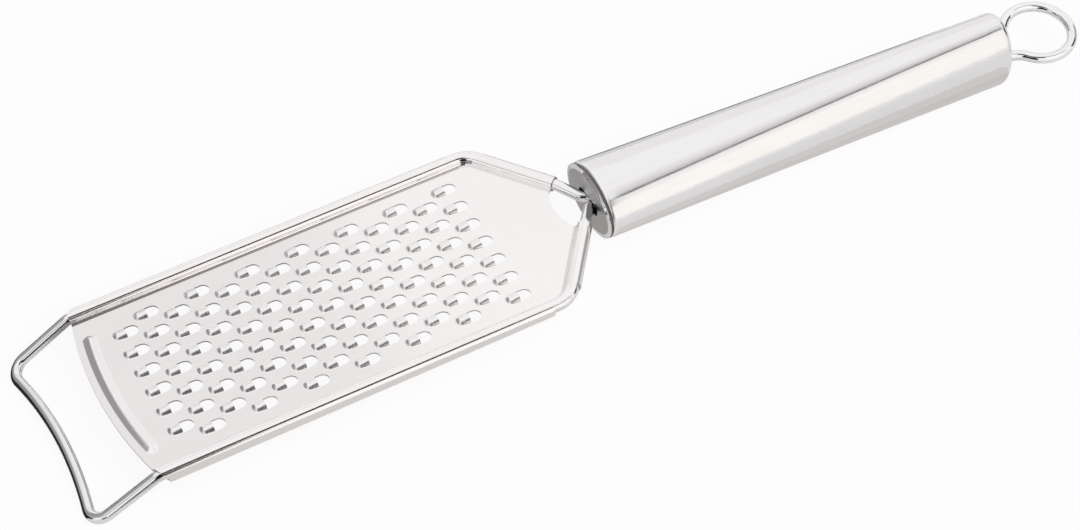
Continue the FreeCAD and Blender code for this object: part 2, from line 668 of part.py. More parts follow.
def add_obround(sketch, spread, radius, spread_formula, radius_formula):
    """Draws an outline with two straight sides and two round ends, centred, and binds its sizes."""
    half = spread / 2
    first = sketch.GeometryCount
    right = Vector(half, 0, 0)
    left = Vector(-half, 0, 0)
    sketch.addGeometry(Part.LineSegment(polar(left, radius, 90), polar(right, radius, 90)), False)
    sketch.addGeometry(Part.ArcOfCircle(Part.Circle(right, UP, radius), -math.pi / 2, math.pi / 2), False)
    sketch.addGeometry(Part.LineSegment(polar(right, radius, -90), polar(left, radius, -90)), False)
    sketch.addGeometry(Part.ArcOfCircle(Part.Circle(left, UP, radius), math.pi / 2, 3 * math.pi / 2), False)
    top, round_right, bottom, round_left = range(first, first + 4)
    sketch.addConstraint(Sketcher.Constraint("Tangent", top, 2, round_right, 2))
    sketch.addConstraint(Sketcher.Constraint("Tangent", round_right, 1, bottom, 1))
    sketch.addConstraint(Sketcher.Constraint("Tangent", bottom, 2, round_left, 2))
    sketch.addConstraint(Sketcher.Constraint("Tangent", round_left, 1, top, 1))
    sketch.addConstraint(Sketcher.Constraint("Equal", round_right, round_left))
    sketch.addConstraint(Sketcher.Constraint("Horizontal", top))
    sketch.addConstraint(Sketcher.Constraint("Symmetric", round_right, 3, round_left, 3, -1, 1))
    gap = sketch.addConstraint(Sketcher.Constraint("DistanceX", round_left, 3, round_right, 3, spread))
    sketch.setExpression("Constraints[%d]" % gap, spread_formula)
    curve = sketch.addConstraint(Sketcher.Constraint("Radius", round_right, radius))
    sketch.setExpression("Constraints[%d]" % curve, radius_formula)


def make_tang_sleeve(doc, size):
    """The crimped sleeve that ties the two legs together behind the plug."""
    body = doc.addObject("PartDesign::Body", "TangSleeve")
    spread_formula = "Sizes.wire_diameter + Sizes.legs_gap"
    sketch = new_sketch(body, "SleeveSection", "YZ_Plane")
    inner = size.wire_radius + size.sleeve_clearance
    spread = size.leg_offset * 2
    add_obround(sketch, spread, inner + size.sleeve_wall, spread_formula,
                "Sizes.wire_diameter / 2 + Sizes.sleeve_clearance + Sizes.sleeve_wall")
    add_obround(sketch, spread, inner, spread_formula, "Sizes.wire_diameter / 2 + Sizes.sleeve_clearance")
    pad = body.newObject("PartDesign::Pad", "SleeveLength")
    pad.Profile = sketch
    pad.setExpression("Length", "Sizes.sleeve_length")
    body.Label = "tang_sleeve"
    return body


def make_loop_anchor(doc, size):
    """The plate behind the rear cap that the loop's two legs are welded into."""
    body = doc.addObject("PartDesign::Body", "LoopAnchor")
    sketch = new_sketch(body, "AnchorOutline", "YZ_Plane")
    radius = size.loop_wire_radius + size.anchor_margin
    add_obround(sketch, size.loop_leg_spread * 2, radius, "Sizes.loop_leg_spread * 2",
                "Sizes.loop_wire_diameter / 2 + Sizes.anchor_margin")
    hole = size.loop_wire_radius + size.loop_hole_clearance
    for side in (1, -1):
        centre = Vector(side * size.loop_leg_spread, 0, 0)
        circle = sketch.addGeometry(Part.Circle(centre, UP, hole), False)
        curve = sketch.addConstraint(Sketcher.Constraint("Radius", circle, hole))
        sketch.setExpression("Constraints[%d]" % curve, "Sizes.loop_wire_diameter / 2 + Sizes.loop_hole_clearance")
        sketch.addConstraint(Sketcher.Constraint("Coincident", circle, 3, 1 if side > 0 else 3, 3))
    pad = body.newObject("PartDesign::Pad", "AnchorThickness")
    pad.Profile = sketch
    pad.setExpression("Length", "Sizes.anchor_thickness")
    body.Label = "loop_anchor"
    return body


def loop_path(size):
    """The loop's centre line: a leg, a bend outwards, the ring, and the same on the other side."""
    ring = Vector(size.loop_reach, 0, 0)
    throat = Vector(size.loop_straight, size.throat_aside, 0)
    towards = (ring - throat).normalize()
    touch = throat + towards * size.loop_throat_radius
    start = throat - ACROSS * size.loop_throat_radius
    middle = throat + (towards - ACROSS).normalize() * size.loop_throat_radius
    leg_end = Vector(-size.loop_leg_length, size.loop_leg_spread, 0)
    far = ring + ALONG * size.loop_radius
    edges = [
        line(leg_end, start),
        arc(start, middle, touch),
        arc(touch, far, mirrored(touch)),
        arc(mirrored(touch), mirrored(middle), mirrored(start)),
        line(mirrored(start), mirrored(leg_end)),
    ]
    return Part.Wire(edges)


def make_hanging_loop(doc, size):
    """One bent wire: two legs through the cap and a ring behind it."""
    wire = make_bent_wire(doc, "HangingLoop", loop_path(size), "loop_wire_diameter")
    wire.Label = "hanging_loop"
    return wire


def check(doc, sub_parts):
    """Stops if any object failed or any sub-part has no valid solid."""
    for item in doc.Objects:
        if "Invalid" in item.State or "Error" in item.State:
            raise RuntimeError("%s failed: %s" % (item.Name, item.State))
    for item in sub_parts:
        shape = item.Shape
        if shape.isNull() or not shape.isValid() or not shape.Solids:
            raise RuntimeError("%s has no valid solid" % item.Label)


def report(doc, sub_parts, size):
    """Prints what was made, and how near each wire's volume is to its section times its length."""
    for item in sub_parts:
        box = item.Shape.BoundBox
        print("%-14s solids %d  volume %9.2f  x %8.2f %8.2f  y %7.2f %7.2f  z %6.2f %6.2f" % (
            item.Label, len(item.Shape.Solids), item.Shape.Volume,
            box.XMin, box.XMax, box.YMin, box.YMax, box.ZMin, box.ZMax))
    for name, radius in (("FrameWire", size.wire_radius), ("HangingLoop", size.loop_wire_radius)):
        expected = math.pi * radius**2 * doc.getObject(name + "Path").Shape.Length
        volume = doc.getObject(name).Shape.Volume
        print("%s: volume %.2f, section times length %.2f" % (name, volume, expected))


def main():
    """Builds every sub-part, lays the object down as it rests and writes one file for each."""
    doc = FreeCAD.newDocument("HandGrater")
    size = Sizes(make_sheet(doc))
    rest = resting_place(size)
    handle = rest * handle_place(size)
    quarter = Rotation(Vector(1, 1, 1), 120)
    tail = Placement(Vector(size.handle_length, 0, 0), Rotation(ALONG, size.loop_turn))
    anchor_back = size.tube_wall + size.anchor_gap + size.anchor_thickness
    sleeve = Placement(Vector(size.plug_depth + size.sleeve_offset, 0, 0), Rotation())
    places = (
        (make_frame_wire(doc, size), rest),
        (make_grating_plate(doc, size), rest),
        (make_handle_tube(doc, size), handle),
        (make_rear_cap(doc, size), handle),
        (make_front_plug(doc, size), handle * Placement(Vector(0, 0, 0), quarter)),
        (make_tang_sleeve(doc, size), handle * sleeve),
        (make_loop_anchor(doc, size), handle * tail * Placement(Vector(-anchor_back, 0, 0), Rotation())),
        (make_hanging_loop(doc, size), handle * tail),
    )
    doc.recompute()
    for item, place in places:
        item.Placement = place
    doc.recompute()
    sub_parts = [item for item, _place in places]
    check(doc, sub_parts)
    report(doc, sub_parts, size)
    os.makedirs("parts", exist_ok=True)
    for item in sub_parts:
        item.Shape.exportStep("parts/%s.step" % item.Label)


main()
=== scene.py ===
"""Looks of a flat hand grater: a punched sheet rolled round a bent wire, with an oval handle and a loop.

Every mesh is made in millimetres in its sub-assembly's own frame and then seated in the row's frame.
"""

import logging
import math
from dataclasses import dataclass
from enum import Enum
from typing import Iterable, Optional, Sequence, Union

import bmesh
import bpy
from bmesh.types import BMEdge, BMesh, BMVert
from mathutils import Matrix, Vector


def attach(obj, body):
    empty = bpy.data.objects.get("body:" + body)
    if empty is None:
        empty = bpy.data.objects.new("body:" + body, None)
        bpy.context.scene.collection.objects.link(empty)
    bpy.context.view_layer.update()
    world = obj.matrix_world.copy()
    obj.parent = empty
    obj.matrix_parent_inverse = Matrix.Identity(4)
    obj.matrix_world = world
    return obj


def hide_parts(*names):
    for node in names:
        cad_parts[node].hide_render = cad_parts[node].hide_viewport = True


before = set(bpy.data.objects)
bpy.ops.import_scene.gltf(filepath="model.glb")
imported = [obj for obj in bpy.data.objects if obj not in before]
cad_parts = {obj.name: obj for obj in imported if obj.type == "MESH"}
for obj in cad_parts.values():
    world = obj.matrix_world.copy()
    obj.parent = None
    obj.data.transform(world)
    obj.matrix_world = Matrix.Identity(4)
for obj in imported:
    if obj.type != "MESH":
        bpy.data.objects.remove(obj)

MM = 0.001
ALONG = Vector((1, 0, 0))
ACROSS = Vector((0, 1, 0))
UP = Vector((0, 0, 1))
ORIGIN = Vector((0, 0, 0))
WHITE = (1, 1, 1, 1)
NOISE_RANGE = (0.3, 0.7)
OCTAVE_FALL = 0.55
Colour = Union[bpy.types.NodeSocket, Sequence[float]]
log = logging.getLogger("hand_grater")


class Slot(Enum):
    """The record's material slot names; no piece made here is given one of them."""

    FRAME = "frame_wire"
    SHEET = "plate_sheet"
    HANDLE = "handle_shell"
    PLUG = "plug"
    LOOP = "loop_wire"


@dataclass(frozen=True)
class Seat:
    """Where a sub-assembly's frame stands in the row's: a place in mm and a turn about the across axis."""

    place: tuple[float, float, float]
    turn: float

    def matrix(self) -> Matrix:
        """From the sub-assembly's millimetres to the row's metres."""
        turn = Matrix.Rotation(math.radians(self.turn), 4, "Y")
        return Matrix.Scale(MM, 4) @ Matrix.Translation(Vector(self.place)) @ turn


PLATE_SEAT = Seat((-149.9147, 0.0, 11.1834), -1.934555)
HANDLE_SEAT = Seat((1.4373, 0.0, 14.8949), 0.985437)


def polar(centre: Vector, radius: float, degrees: float, squeeze: float = 1.0) -> Vector:
    """A point round a centre in the plane of X and Y, on a circle that can be squeezed along X."""
    angle = math.radians(degrees)
    return centre + Vector((radius * squeeze * math.cos(angle), radius * math.sin(angle), 0))


def mirrored(point: Vector) -> Vector:
    """The same point on the other side of the object."""
    return Vector((point.x, -point.y, point.z))


def spread_evenly(first: float, last: float, count: int) -> list[float]:
    """Even steps from the first value to the last, both included."""
    return [first + (last - first) * step / count for step in range(count + 1)]


# Finishes
@dataclass(frozen=True)
class Grain:
    """One layer of marks in a metal, made from noise that is stretched by its own scale on each axis.

    The place shifts the noise, so that two layers differ. The tone is the tint's share where marks are dark,
    the relief is their depth in metres, and the gloss holds the roughness's shares at the noise's two ends.
    """

    scale: tuple[float, float, float]
    detail: float
    place: tuple[float, float, float] = (0, 0, 0)
    tone: float = 1.0
    relief: float = 0.0
    gloss: Optional[tuple[float, float]] = None


class NodeBoard:
    """The node tree of a material or a world, with short calls to lay out and join its nodes."""

    def __init__(self, owner: bpy.types.ID, empty: bool = True) -> None:
        """Opens the tree.

        Args:
            owner: The material or the world.
            empty: Whether the nodes that it starts with are cleared away.
        """
        owner.use_nodes = True
        self.tree = owner.node_tree
        if empty:
            self.tree.nodes.clear()

    def node(self, kind: str, **settings: object) -> bpy.types.Node:
        """Adds a node.

        Args:
            kind: The node's type, without its usual prefix.
            settings: Its properties, or its sockets where it has no such property.

        Returns:
            The new node.
        """
        node = self.tree.nodes.new("ShaderNode" + kind)
        for key, value in settings.items():
            if hasattr(node, key):
                setattr(node, key, value)
            else:
                node.inputs[key].default_value = value
        return node

    def join(self, source: bpy.types.NodeSocket, target: bpy.types.NodeSocket) -> None:
        """Links one socket to another."""
        self.tree.links.new(source, target)

    def mixed(self, share: bpy.types.NodeSocket, first: bpy.types.Node,
              second: bpy.types.Node) -> bpy.types.Node:
        """Mixes two shaders.

        Args:
            share: Nought for the first shader and one for the second.
            first: The first shader.
            second: The second shader.

        Returns:
            The mixed shader.
        """
        mix = self.node("MixShader")
        self.join(share, mix.inputs["Fac"])
        self.join(first.outputs[0], mix.inputs[1])
        self.join(second.outputs[0], mix.inputs[2])
        return mix

    def show(self, shader: bpy.types.Node, kind: str = "Material") -> None:
        """Joins a shader to the output of a material or a world."""
        self.join(shader.outputs[0], self.node("Output" + kind).inputs["Surface"])


class MetalBoard(NodeBoard):
    """The node tree of a metal."""

    def __init__(self, name: str) -> None:
        """Starts a material with a metal shader.

        Args:
            name: The material's name.
        """
        self.material = bpy.data.materials.new(name)
        super().__init__(self.material, empty=False)
        self.shader = self.tree.nodes["Principled BSDF"]
        self.shader.inputs["Metallic"].default_value = 1.0

    def attribute(self, name: str) -> bpy.types.NodeSocket:
        """A value that the mesh carries at its vertices."""
        return self.node("Attribute", attribute_name=name).outputs["Fac"]

    def feed(self, target: bpy.types.NodeSocket, colour: Colour) -> None:
        """Gives a socket its colour.

        Args:
            target: The socket.
            colour: Another socket to link it to, or a colour that is the same all over.
        """
        if isinstance(colour, bpy.types.NodeSocket):
            self.join(colour, target)
        else:
            target.default_value = (*colour, 1)

    def marks(self, source: bpy.types.NodeSocket, grain: Grain) -> bpy.types.NodeSocket:
        """Adds the noise of one layer of marks.

        Args:
            source: The coordinates.
            grain: The layer.

        Returns:
            The noise's value.
        """
        mapping = self.node("Mapping", Scale=grain.scale, Location=grain.place)
        noise = self.node("TexNoise", Scale=1.0, Detail=grain.detail, Roughness=OCTAVE_FALL)
        self.join(source, mapping.inputs["Vector"])
        self.join(mapping.outputs["Vector"], noise.inputs["Vector"])
        return noise.outputs["Fac"]

    def ranged(self, noise: bpy.types.NodeSocket, low: float, high: float) -> bpy.types.NodeSocket:
        """Maps a noise's usual range to the range between two values.

        Args:
            noise: The noise.
            low: The value at the noise's low end.
            high: The value at its high end.

        Returns:
            The mapped value.
        """
        mapped = self.node("MapRange")
        self.join(noise, mapped.inputs["Value"])
        for name, value in zip(("From Min", "From Max", "To Min", "To Max"), (*NOISE_RANGE, low, high)):
            mapped.inputs[name].default_value = value
        return mapped.outputs["Result"]

    def toned(self, noise: bpy.types.NodeSocket, tone: float) -> bpy.types.NodeSocket:
        """Adds a grey that goes up to white with a noise.

        Args:
            noise: The noise.
            tone: The grey at the noise's low end.

        Returns:
            The grey's socket.
        """
        ramp = self.node("ValToRGB")
        ramp.color_ramp.elements[0].color = (tone, tone, tone, 1)
        ramp.color_ramp.elements[1].color = WHITE
        self.join(self.ranged(noise, 0.0, 1.0), ramp.inputs["Fac"])
        return ramp.outputs["Color"]

    def multiplied(self, colour: Colour, shade: Colour,
                   share: Optional[bpy.types.NodeSocket] = None) -> bpy.types.NodeSocket:
        """Multiplies a colour by a shade.

        Args:
            colour: The colour.
            shade: The shade.
            share: How far the shade counts. It counts fully where this is left out.

        Returns:
            The colour's socket.
        """
        mix = self.node("Mix", data_type="RGBA", blend_type="MULTIPLY", Factor=1.0)
        self.feed(mix.inputs["A"], colour)
        self.feed(mix.inputs["B"], shade)
        if share is not None:
            self.join(share, mix.inputs["Factor"])
        return mix.outputs["Result"]

    def bump(self, heights: Iterable[tuple[bpy.types.NodeSocket, float]]) -> None:
        """Adds fine relief to the shader.

        Args:
            heights: Pairs of a height between nought and one, and the relief it stands for in metres.
        """
        normal = None
        for height, depth in heights:
            bump = self.node("Bump", Strength=1.0, Distance=depth)
            self.join(height, bump.inputs["Height"])
            if normal is not None:
                self.join(normal, bump.inputs["Normal"])
            normal = bump.outputs["Normal"]
        if normal is not None:
            self.join(normal, self.shader.inputs["Normal"])


@dataclass(frozen=True)
class MetalFinish:
    """A steel surface: its tint, its roughness and its layers of marks."""

    name: str
    tint: tuple[float, float, float]
    roughness: float
    grains: tuple[Grain, ...]

    def place(self, board: MetalBoard) -> bpy.types.NodeSocket:
        """The coordinates that the marks are laid out in."""
        return board.node("TexCoord").outputs["Object"]

    def painted_shade_over(self, _board: MetalBoard, colour: Colour) -> Colour:
        """The colour with the painted shade over the marks, which is none on most metals."""
        return colour

    def dulled(self, _board: MetalBoard, gloss: bpy.types.NodeSocket) -> bpy.types.NodeSocket:
        """The roughness with what dulls it more than the marks do, which is nothing on most metals."""
        return gloss

    def make(self) -> bpy.types.Material:
        """Lays out the finish, from its tint up through its layers of marks.

        Returns:
            The material.
        """
        board = MetalBoard(self.name)
        place = self.place(board)
        colour: Colour = self.tint
        gloss = None
        heights = []
        for grain in self.grains:
            marks = board.marks(place, grain)
            if grain.tone < 1:
                colour = board.multiplied(colour, board.toned(marks, grain.tone))
            if grain.gloss is not None:
                gloss = board.ranged(marks, *(self.roughness * share for share in grain.gloss))
            if grain.relief > 0:
                heights.append((marks, grain.relief))
        board.feed(board.shader.inputs["Base Color"], self.painted_shade_over(board, colour))
        board.join(self.dulled(board, gloss), board.shader.inputs["Roughness"])
        board.bump(heights)
        return board.material


@dataclass(frozen=True)
class WireFinish(MetalFinish):
    """A metal whose marks follow the wire round its bends, read from the wire's own grain attribute."""

    def place(self, board: MetalBoard) -> bpy.types.NodeSocket:
        """The coordinates along and round the wire."""
        return board.node("Attribute", attribute_name="grain").outputs["Vector"]


@dataclass(frozen=True)
class FormedSheetFinish(MetalFinish):
    """A metal with painted shade darkening its creases, and duller where the sheet was stretched."""

    # Painted shade: the dark grey that the crease attribute multiplies into the sheet's colour.
    painted_crease_shade: tuple[float, float, float] = (0.12, 0.115, 0.11)
    drawn_roughness: float = 0.14

    def painted_shade_over(self, board: MetalBoard, colour: Colour) -> Colour:
        """The colour with the painted shade of the creases."""
        return board.multiplied(colour, self.painted_crease_shade, board.attribute("crease"))

    def dulled(self, board: MetalBoard, gloss: bpy.types.NodeSocket) -> bpy.types.NodeSocket:
        """Adds roughness where the sheet is drawn.

        Args:
            board: The material's nodes.
            gloss: The roughness of the flat sheet.

        Returns:
            The roughness.
        """
        stretched = board.node("Math", operation="MULTIPLY_ADD")
        board.join(board.attribute("drawn"), stretched.inputs[0])
        stretched.inputs[1].default_value = self.drawn_roughness
        board.join(gloss, stretched.inputs[2])
        return stretched.outputs["Value"]


# Faint draw lines along the wire, and long patches
DRAWN_WIRE = (Grain((9.0, 9.0, 0.02), 4.0, relief=0.0000015, gloss=(0.7, 1.6)),
              Grain((0.8, 0.8, 0.06), 2.0, (3, 1, 7), tone=0.93, relief=0.000021))
# Long fine scratches, coarser ones and faint clouds
POLISHED_TUBE = (Grain((26, 5200, 5200), 6.0, relief=0.0000009, gloss=(0.75, 1.35)),
                 Grain((60, 1700, 1700), 3.0, (5, 2, 1), tone=0.97, relief=0.00000045),
                 Grain((34, 90, 90), 4.0, (1, 4, 2), tone=0.955, relief=0.000012))
# Faint rolling lines, pale patches, shallow waves and specks
ROLLED_SHEET = (Grain((120, 3800, 3800), 5.0, tone=0.975, relief=0.0000004),
                Grain((22, 30, 60), 3.0, (2, 9, 4), tone=0.975),
                Grain((18, 26, 26), 1.0, (7, 3, 5), relief=0.00004),
                Grain((2600, 2600, 2600), 2.0, (1, 1, 8), gloss=(0.85, 1.2)))
# The tears of a cut edge
SHEARED_EDGE = (Grain((5200, 5200, 1400), 5.0, tone=0.72, relief=0.00002, gloss=(1.0, 1.3)),)
# Fine lines from a finishing wheel, and a few deeper ones
TURNED_FACE = (Grain((2500, 260, 4200), 5.0, tone=0.82, relief=0.000004),
               Grain((500, 90, 900), 3.0, (4, 4, 1), relief=0.000012, gloss=(0.8, 1.3)))

WIRE_FINISH = WireFinish("bright_drawn_wire", (0.88, 0.875, 0.885), 0.07, DRAWN_WIRE)
LOOP_FINISH = WireFinish("polished_loop_wire", (0.9, 0.895, 0.9), 0.06, DRAWN_WIRE)
SHELL_FINISH = MetalFinish("satin_handle_steel", (0.89, 0.874, 0.877), 0.125, POLISHED_TUBE)
# The rolled mouth takes a lighter, rougher copy of the handle's steel; the lighter tint is a painted
# highlight.
MOUTH_FINISH = MetalFinish("rolled_mouth_steel", (0.95, 0.94, 0.94), 0.3, POLISHED_TUBE)
SHEET_FINISH = FormedSheetFinish("rolled_plate_steel", (0.93, 0.9, 0.9), 0.13, ROLLED_SHEET)
# The cut edges: rougher sheared steel, darker partly as a real cut edge and partly as painted shade along the
# walls of the openings.
EDGE_FINISH = MetalFinish("sheared_plate_edge", (0.74, 0.73, 0.72), 0.42, SHEARED_EDGE)
FACE_FINISH = MetalFinish("turned_plug_face", (0.52, 0.515, 0.51), 0.3, TURNED_FACE)
BEVEL_FINISH = MetalFinish("bright_plug_bevel", (0.93, 0.925, 0.92), 0.08, POLISHED_TUBE)
# Painted shade: the plug's flange and spigot, nearly black, stand for the shadowed groove between plug and
# tube.
GROOVE_FINISH = MetalFinish("shaded_plug_groove", (0.2, 0.19, 0.185), 0.42, SHEARED_EDGE)
FITTING_FINISH = MetalFinish("plain_inner_steel", (0.58, 0.57, 0.56), 0.42, SHEARED_EDGE)


# Meshes
def vertices_in(geometry: Iterable[object]) -> list[BMVert]:
    """The vertices among mixed mesh elements."""
    return [item for item in geometry if isinstance(item, BMVert)]


def pairs_along(chain: Sequence[BMVert], closed: bool) -> Iterable[tuple[BMVert, BMVert]]:
    """Each vertex of a chain with the next one, and the last with the first where the chain is closed."""
    return zip(chain, [*chain[1:], *(chain[:1] if closed else ())])


def chain_edges(bm: BMesh, chain: Sequence[BMVert], closed: bool) -> list[BMEdge]:
    """The edges between the vertices of a chain."""
    return [bm.edges.get(pair) for pair in pairs_along(chain, closed)]


def draw_chain(bm: BMesh, points: Sequence[Vector], closed: bool) -> list[BMVert]:
    """Draws a chain of edges through points.

    Args:
        bm: The mesh.
        points: Where the chain runs.
        closed: Whether the last vertex joins the first.

    Returns:
        The chain's vertices, in order.
    """
    chain = [bm.verts.new(point) for point in points]
    for pair in pairs_along(chain, closed):
        bm.edges.new(pair)
    return chain


def extrude_chain(bm: BMesh, chain: Sequence[BMVert], closed: bool) -> list[BMVert]:
    """Extrudes a chain of edges.

    Args:
        bm: The mesh.
        chain: The chain's vertices, in order.
        closed: Whether the last vertex joins the first.

    Returns:
        The new vertices, in the same order and still at the same places.
    """
    made = set(vertices_in(bmesh.ops.extrude_edge_only(bm, edges=chain_edges(bm, chain, closed))["geom"]))
    return [next(edge.other_vert(vert) for edge in vert.link_edges if edge.other_vert(vert) in made)
            for vert in chain]


def press_rings(bm: BMesh, chain: Sequence[BMVert], rings: Sequence[Sequence[Vector]],
                closed: bool) -> list[BMVert]:
    """Draws the sheet inwards from a chain, one ring of places after another.

    Args:
        bm: The mesh.
        chain: The vertices to start from, in order.
        rings: For each step the places of its vertices, in the same order.
        closed: Whether the rings are closed.

    Returns:
        The last ring's vertices.
    """
    for ring in rings:
        chain = extrude_chain(bm, chain, closed)
        for vert, point in zip(chain, ring):
            vert.co = point
    return list(chain)


def thicken(bm: BMesh, depth: float, edge_material: Optional[int] = None) -> None:
    """Gives an open skin its wall, on the side that its faces turn away from.

    Args:
        bm: The mesh, with every face pointing outwards.
        depth: The wall's thickness.
        edge_material: The material index of the cut edges.
    """
    before = len(bm.faces)
    bmesh.ops.solidify(bm, geom=bm.faces[:], thickness=depth)
    if edge_material is not None:
        bm.faces.ensure_lookup_table()
        for face in bm.faces[before * 2:]:
            face.material_index = edge_material


def add_object(name: str, bm: BMesh, materials: Iterable[bpy.types.Material]) -> bpy.types.Object:
    """Turns a finished mesh into an object of the scene.

    Args:
        name: The object's name.
        bm: The mesh.
        materials: Its materials, in the order of its faces' indexes.

    Returns:
        The object.
    """
    mesh = bpy.data.meshes.new(name)
    bm.to_mesh(mesh)
    bm.free()
    for material in materials:
        mesh.materials.append(material)
    made = bpy.data.objects.new(name, mesh)
    bpy.context.scene.collection.objects.link(made)
    return made


def seat_piece(bm: BMesh, name: str, seat: Matrix, finishes: Sequence[MetalFinish],
               nodes: Sequence[str], crease: float = 40.0, outward: bool = True) -> bpy.types.Object:
    """Turns a finished mesh into a piece that stands for its CAD nodes.

    Args:
        bm: The mesh, in millimetres.
        name: The piece's name.
        seat: From the mesh's millimetres to the row's metres.
        finishes: The piece's finishes, in the order of its faces' indexes.
        nodes: The CAD nodes that the piece stands for.
        crease: The angle in degrees above which an edge shows sharp.
        outward: Whether the normals are worked out anew.

    Returns:
        The piece's object.
    """
    if outward:
        bmesh.ops.recalc_face_normals(bm, faces=bm.faces[:])
    bm.transform(seat)
    for face in bm.faces:
        face.smooth = True
    for edge in bm.edges:
        if len(edge.link_faces) == 2 and edge.calc_face_angle(0) > math.radians(crease):
            edge.smooth = False
    piece = add_object(name, bm, [finish.make() for finish in finishes])
    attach(piece, "root")
    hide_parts(*nodes)
    triangles = sum(len(face.vertices) - 2 for face in piece.data.polygons)
    log.info("%s: %d triangles, stands for %s", name, triangles, ", ".join(nodes))
    return piece


class WireBender:
    """Bends a round wire the way a former does: a straight run, then a bend, and so on."""

    def __init__(self, start: Vector, heading: Vector, diameter: float, facets: int = 40) -> None:
        """Starts the wire with a closed end.

        Args:
            start: The middle of its first end.
            heading: The direction it sets out in.
            diameter: The wire's diameter.
            facets: The sides of its section.
        """
        self.bm = bmesh.new()
        self.grain = self.bm.verts.layers.float_vector.new("grain")
        circle = bmesh.ops.create_circle(self.bm, cap_ends=True, radius=diameter / 2, segments=facets)
        self.ring = circle["verts"]
        for vert in self.ring:
            vert[self.grain] = vert.co * (2 / diameter)
        turn = UP.rotation_difference(heading).to_matrix().to_4x4()
        bmesh.ops.transform(self.bm, matrix=Matrix.Translation(start) @ turn, verts=self.ring)
        self.place = start.copy()
        self.heading = heading.normalized()

    def _step(self, move: Matrix, length: float) -> None:
        """Draws the wire's end on by one step.

        Args:
            move: The step's move.
            length: The length of wire that it takes.
        """
        self.ring = extrude_chain(self.bm, self.ring, True)
        bmesh.ops.transform(self.bm, matrix=move, verts=self.ring)
        for vert in self.ring:
            vert[self.grain] = vert[self.grain] + UP * length
        self.place = move @ self.place
        self.heading = (move.to_3x3() @ self.heading).normalized()

    def run_to(self, point: Vector) -> None:
        """Runs straight to a point."""
        self._step(Matrix.Translation(point - self.place), (point - self.place).length)

    def bend(self, centre: Vector, axis: Vector, angle: float, facet: float = 4.0) -> None:
        """Bends the wire about a centre.

        Args:
            centre: The middle of the bend.
            axis: The axis of the bend.
            angle: The turn, in radians.
            facet: The turn of one step, in degrees.
        """
        steps = max(2, math.ceil(math.degrees(abs(angle)) / facet))
        turn = Matrix.Rotation(angle / steps, 4, axis)
        move = Matrix.Translation(centre) @ turn @ Matrix.Translation(-centre)
        length = (self.place - centre).length * abs(angle) / steps
        for _step in range(steps):
            self._step(move, length)

    def bend_towards(self, centre: Vector, end: Vector) -> None:
        """Bends the wire about a centre by the shorter way.

        Args:
            centre: The middle of the bend.
            end: Where the wire's end is to stand.
        """
        first = self.place - centre
        last = end - centre
        self.bend(centre, first.cross(last).normalized(), first.angle(last))

    def round_corner(self, corner: Vector, after: Vector, radius: float) -> None:
        """Runs up to a corner and bends round it towards the next point.

        Args:
            corner: Where the two straight lines meet.
            after: A point on the second line.
            radius: The bend's radius.
        """
        onward = (after - corner).normalized()
        turn = self.heading.angle(onward)
        axis = self.heading.cross(onward).normalized()
        start = corner - self.heading * radius * math.tan(turn / 2)
        self.run_to(start)
        self.bend(start + axis.cross(self.heading) * radius, axis, turn)

    def cut_off(self) -> BMesh:
        """Closes the wire's last end and hands over its mesh."""
        self.bm.faces.new(self.ring)
        return self.bm


@dataclass(frozen=True)
class Oval:
    """An oval across the handle's axis, at a distance behind the handle's front face."""

    distance: float
    half_width: float
    half_height: float


class OvalDraw:
    """A skin drawn along the handle's axis from one oval to the next."""

    def __init__(self, bm: BMesh, start: Oval, facets: int = 112) -> None:
        """Starts with one oval.

        Args:
            bm: The mesh.
            start: The first oval.
            facets: The sides of every oval.
        """
        self.bm = bm
        self.now = start
        self.ring = bmesh.ops.create_circle(bm, cap_ends=False, radius=1, segments=facets)["verts"]
        stand = Matrix(((0, 0, 1, start.distance), (start.half_width, 0, 0, 0), (0, start.half_height, 0, 0),
                        (0, 0, 0, 1)))
        bmesh.ops.transform(bm, matrix=stand, verts=self.ring)

    def to(self, *ovals: Oval) -> None:
        """Draws the skin on through one oval after another.

        Args:
            ovals: The ovals, in order.
        """
        for oval in ovals:
            growth = (1, oval.half_width / self.now.half_width, oval.half_height / self.now.half_height)
            self.ring = extrude_chain(self.bm, self.ring, True)
            bmesh.ops.translate(self.bm, vec=ALONG * -self.now.distance, verts=self.ring)
            bmesh.ops.scale(self.bm, vec=growth, verts=self.ring)
            bmesh.ops.translate(self.bm, vec=ALONG * oval.distance, verts=self.ring)
            self.now = oval


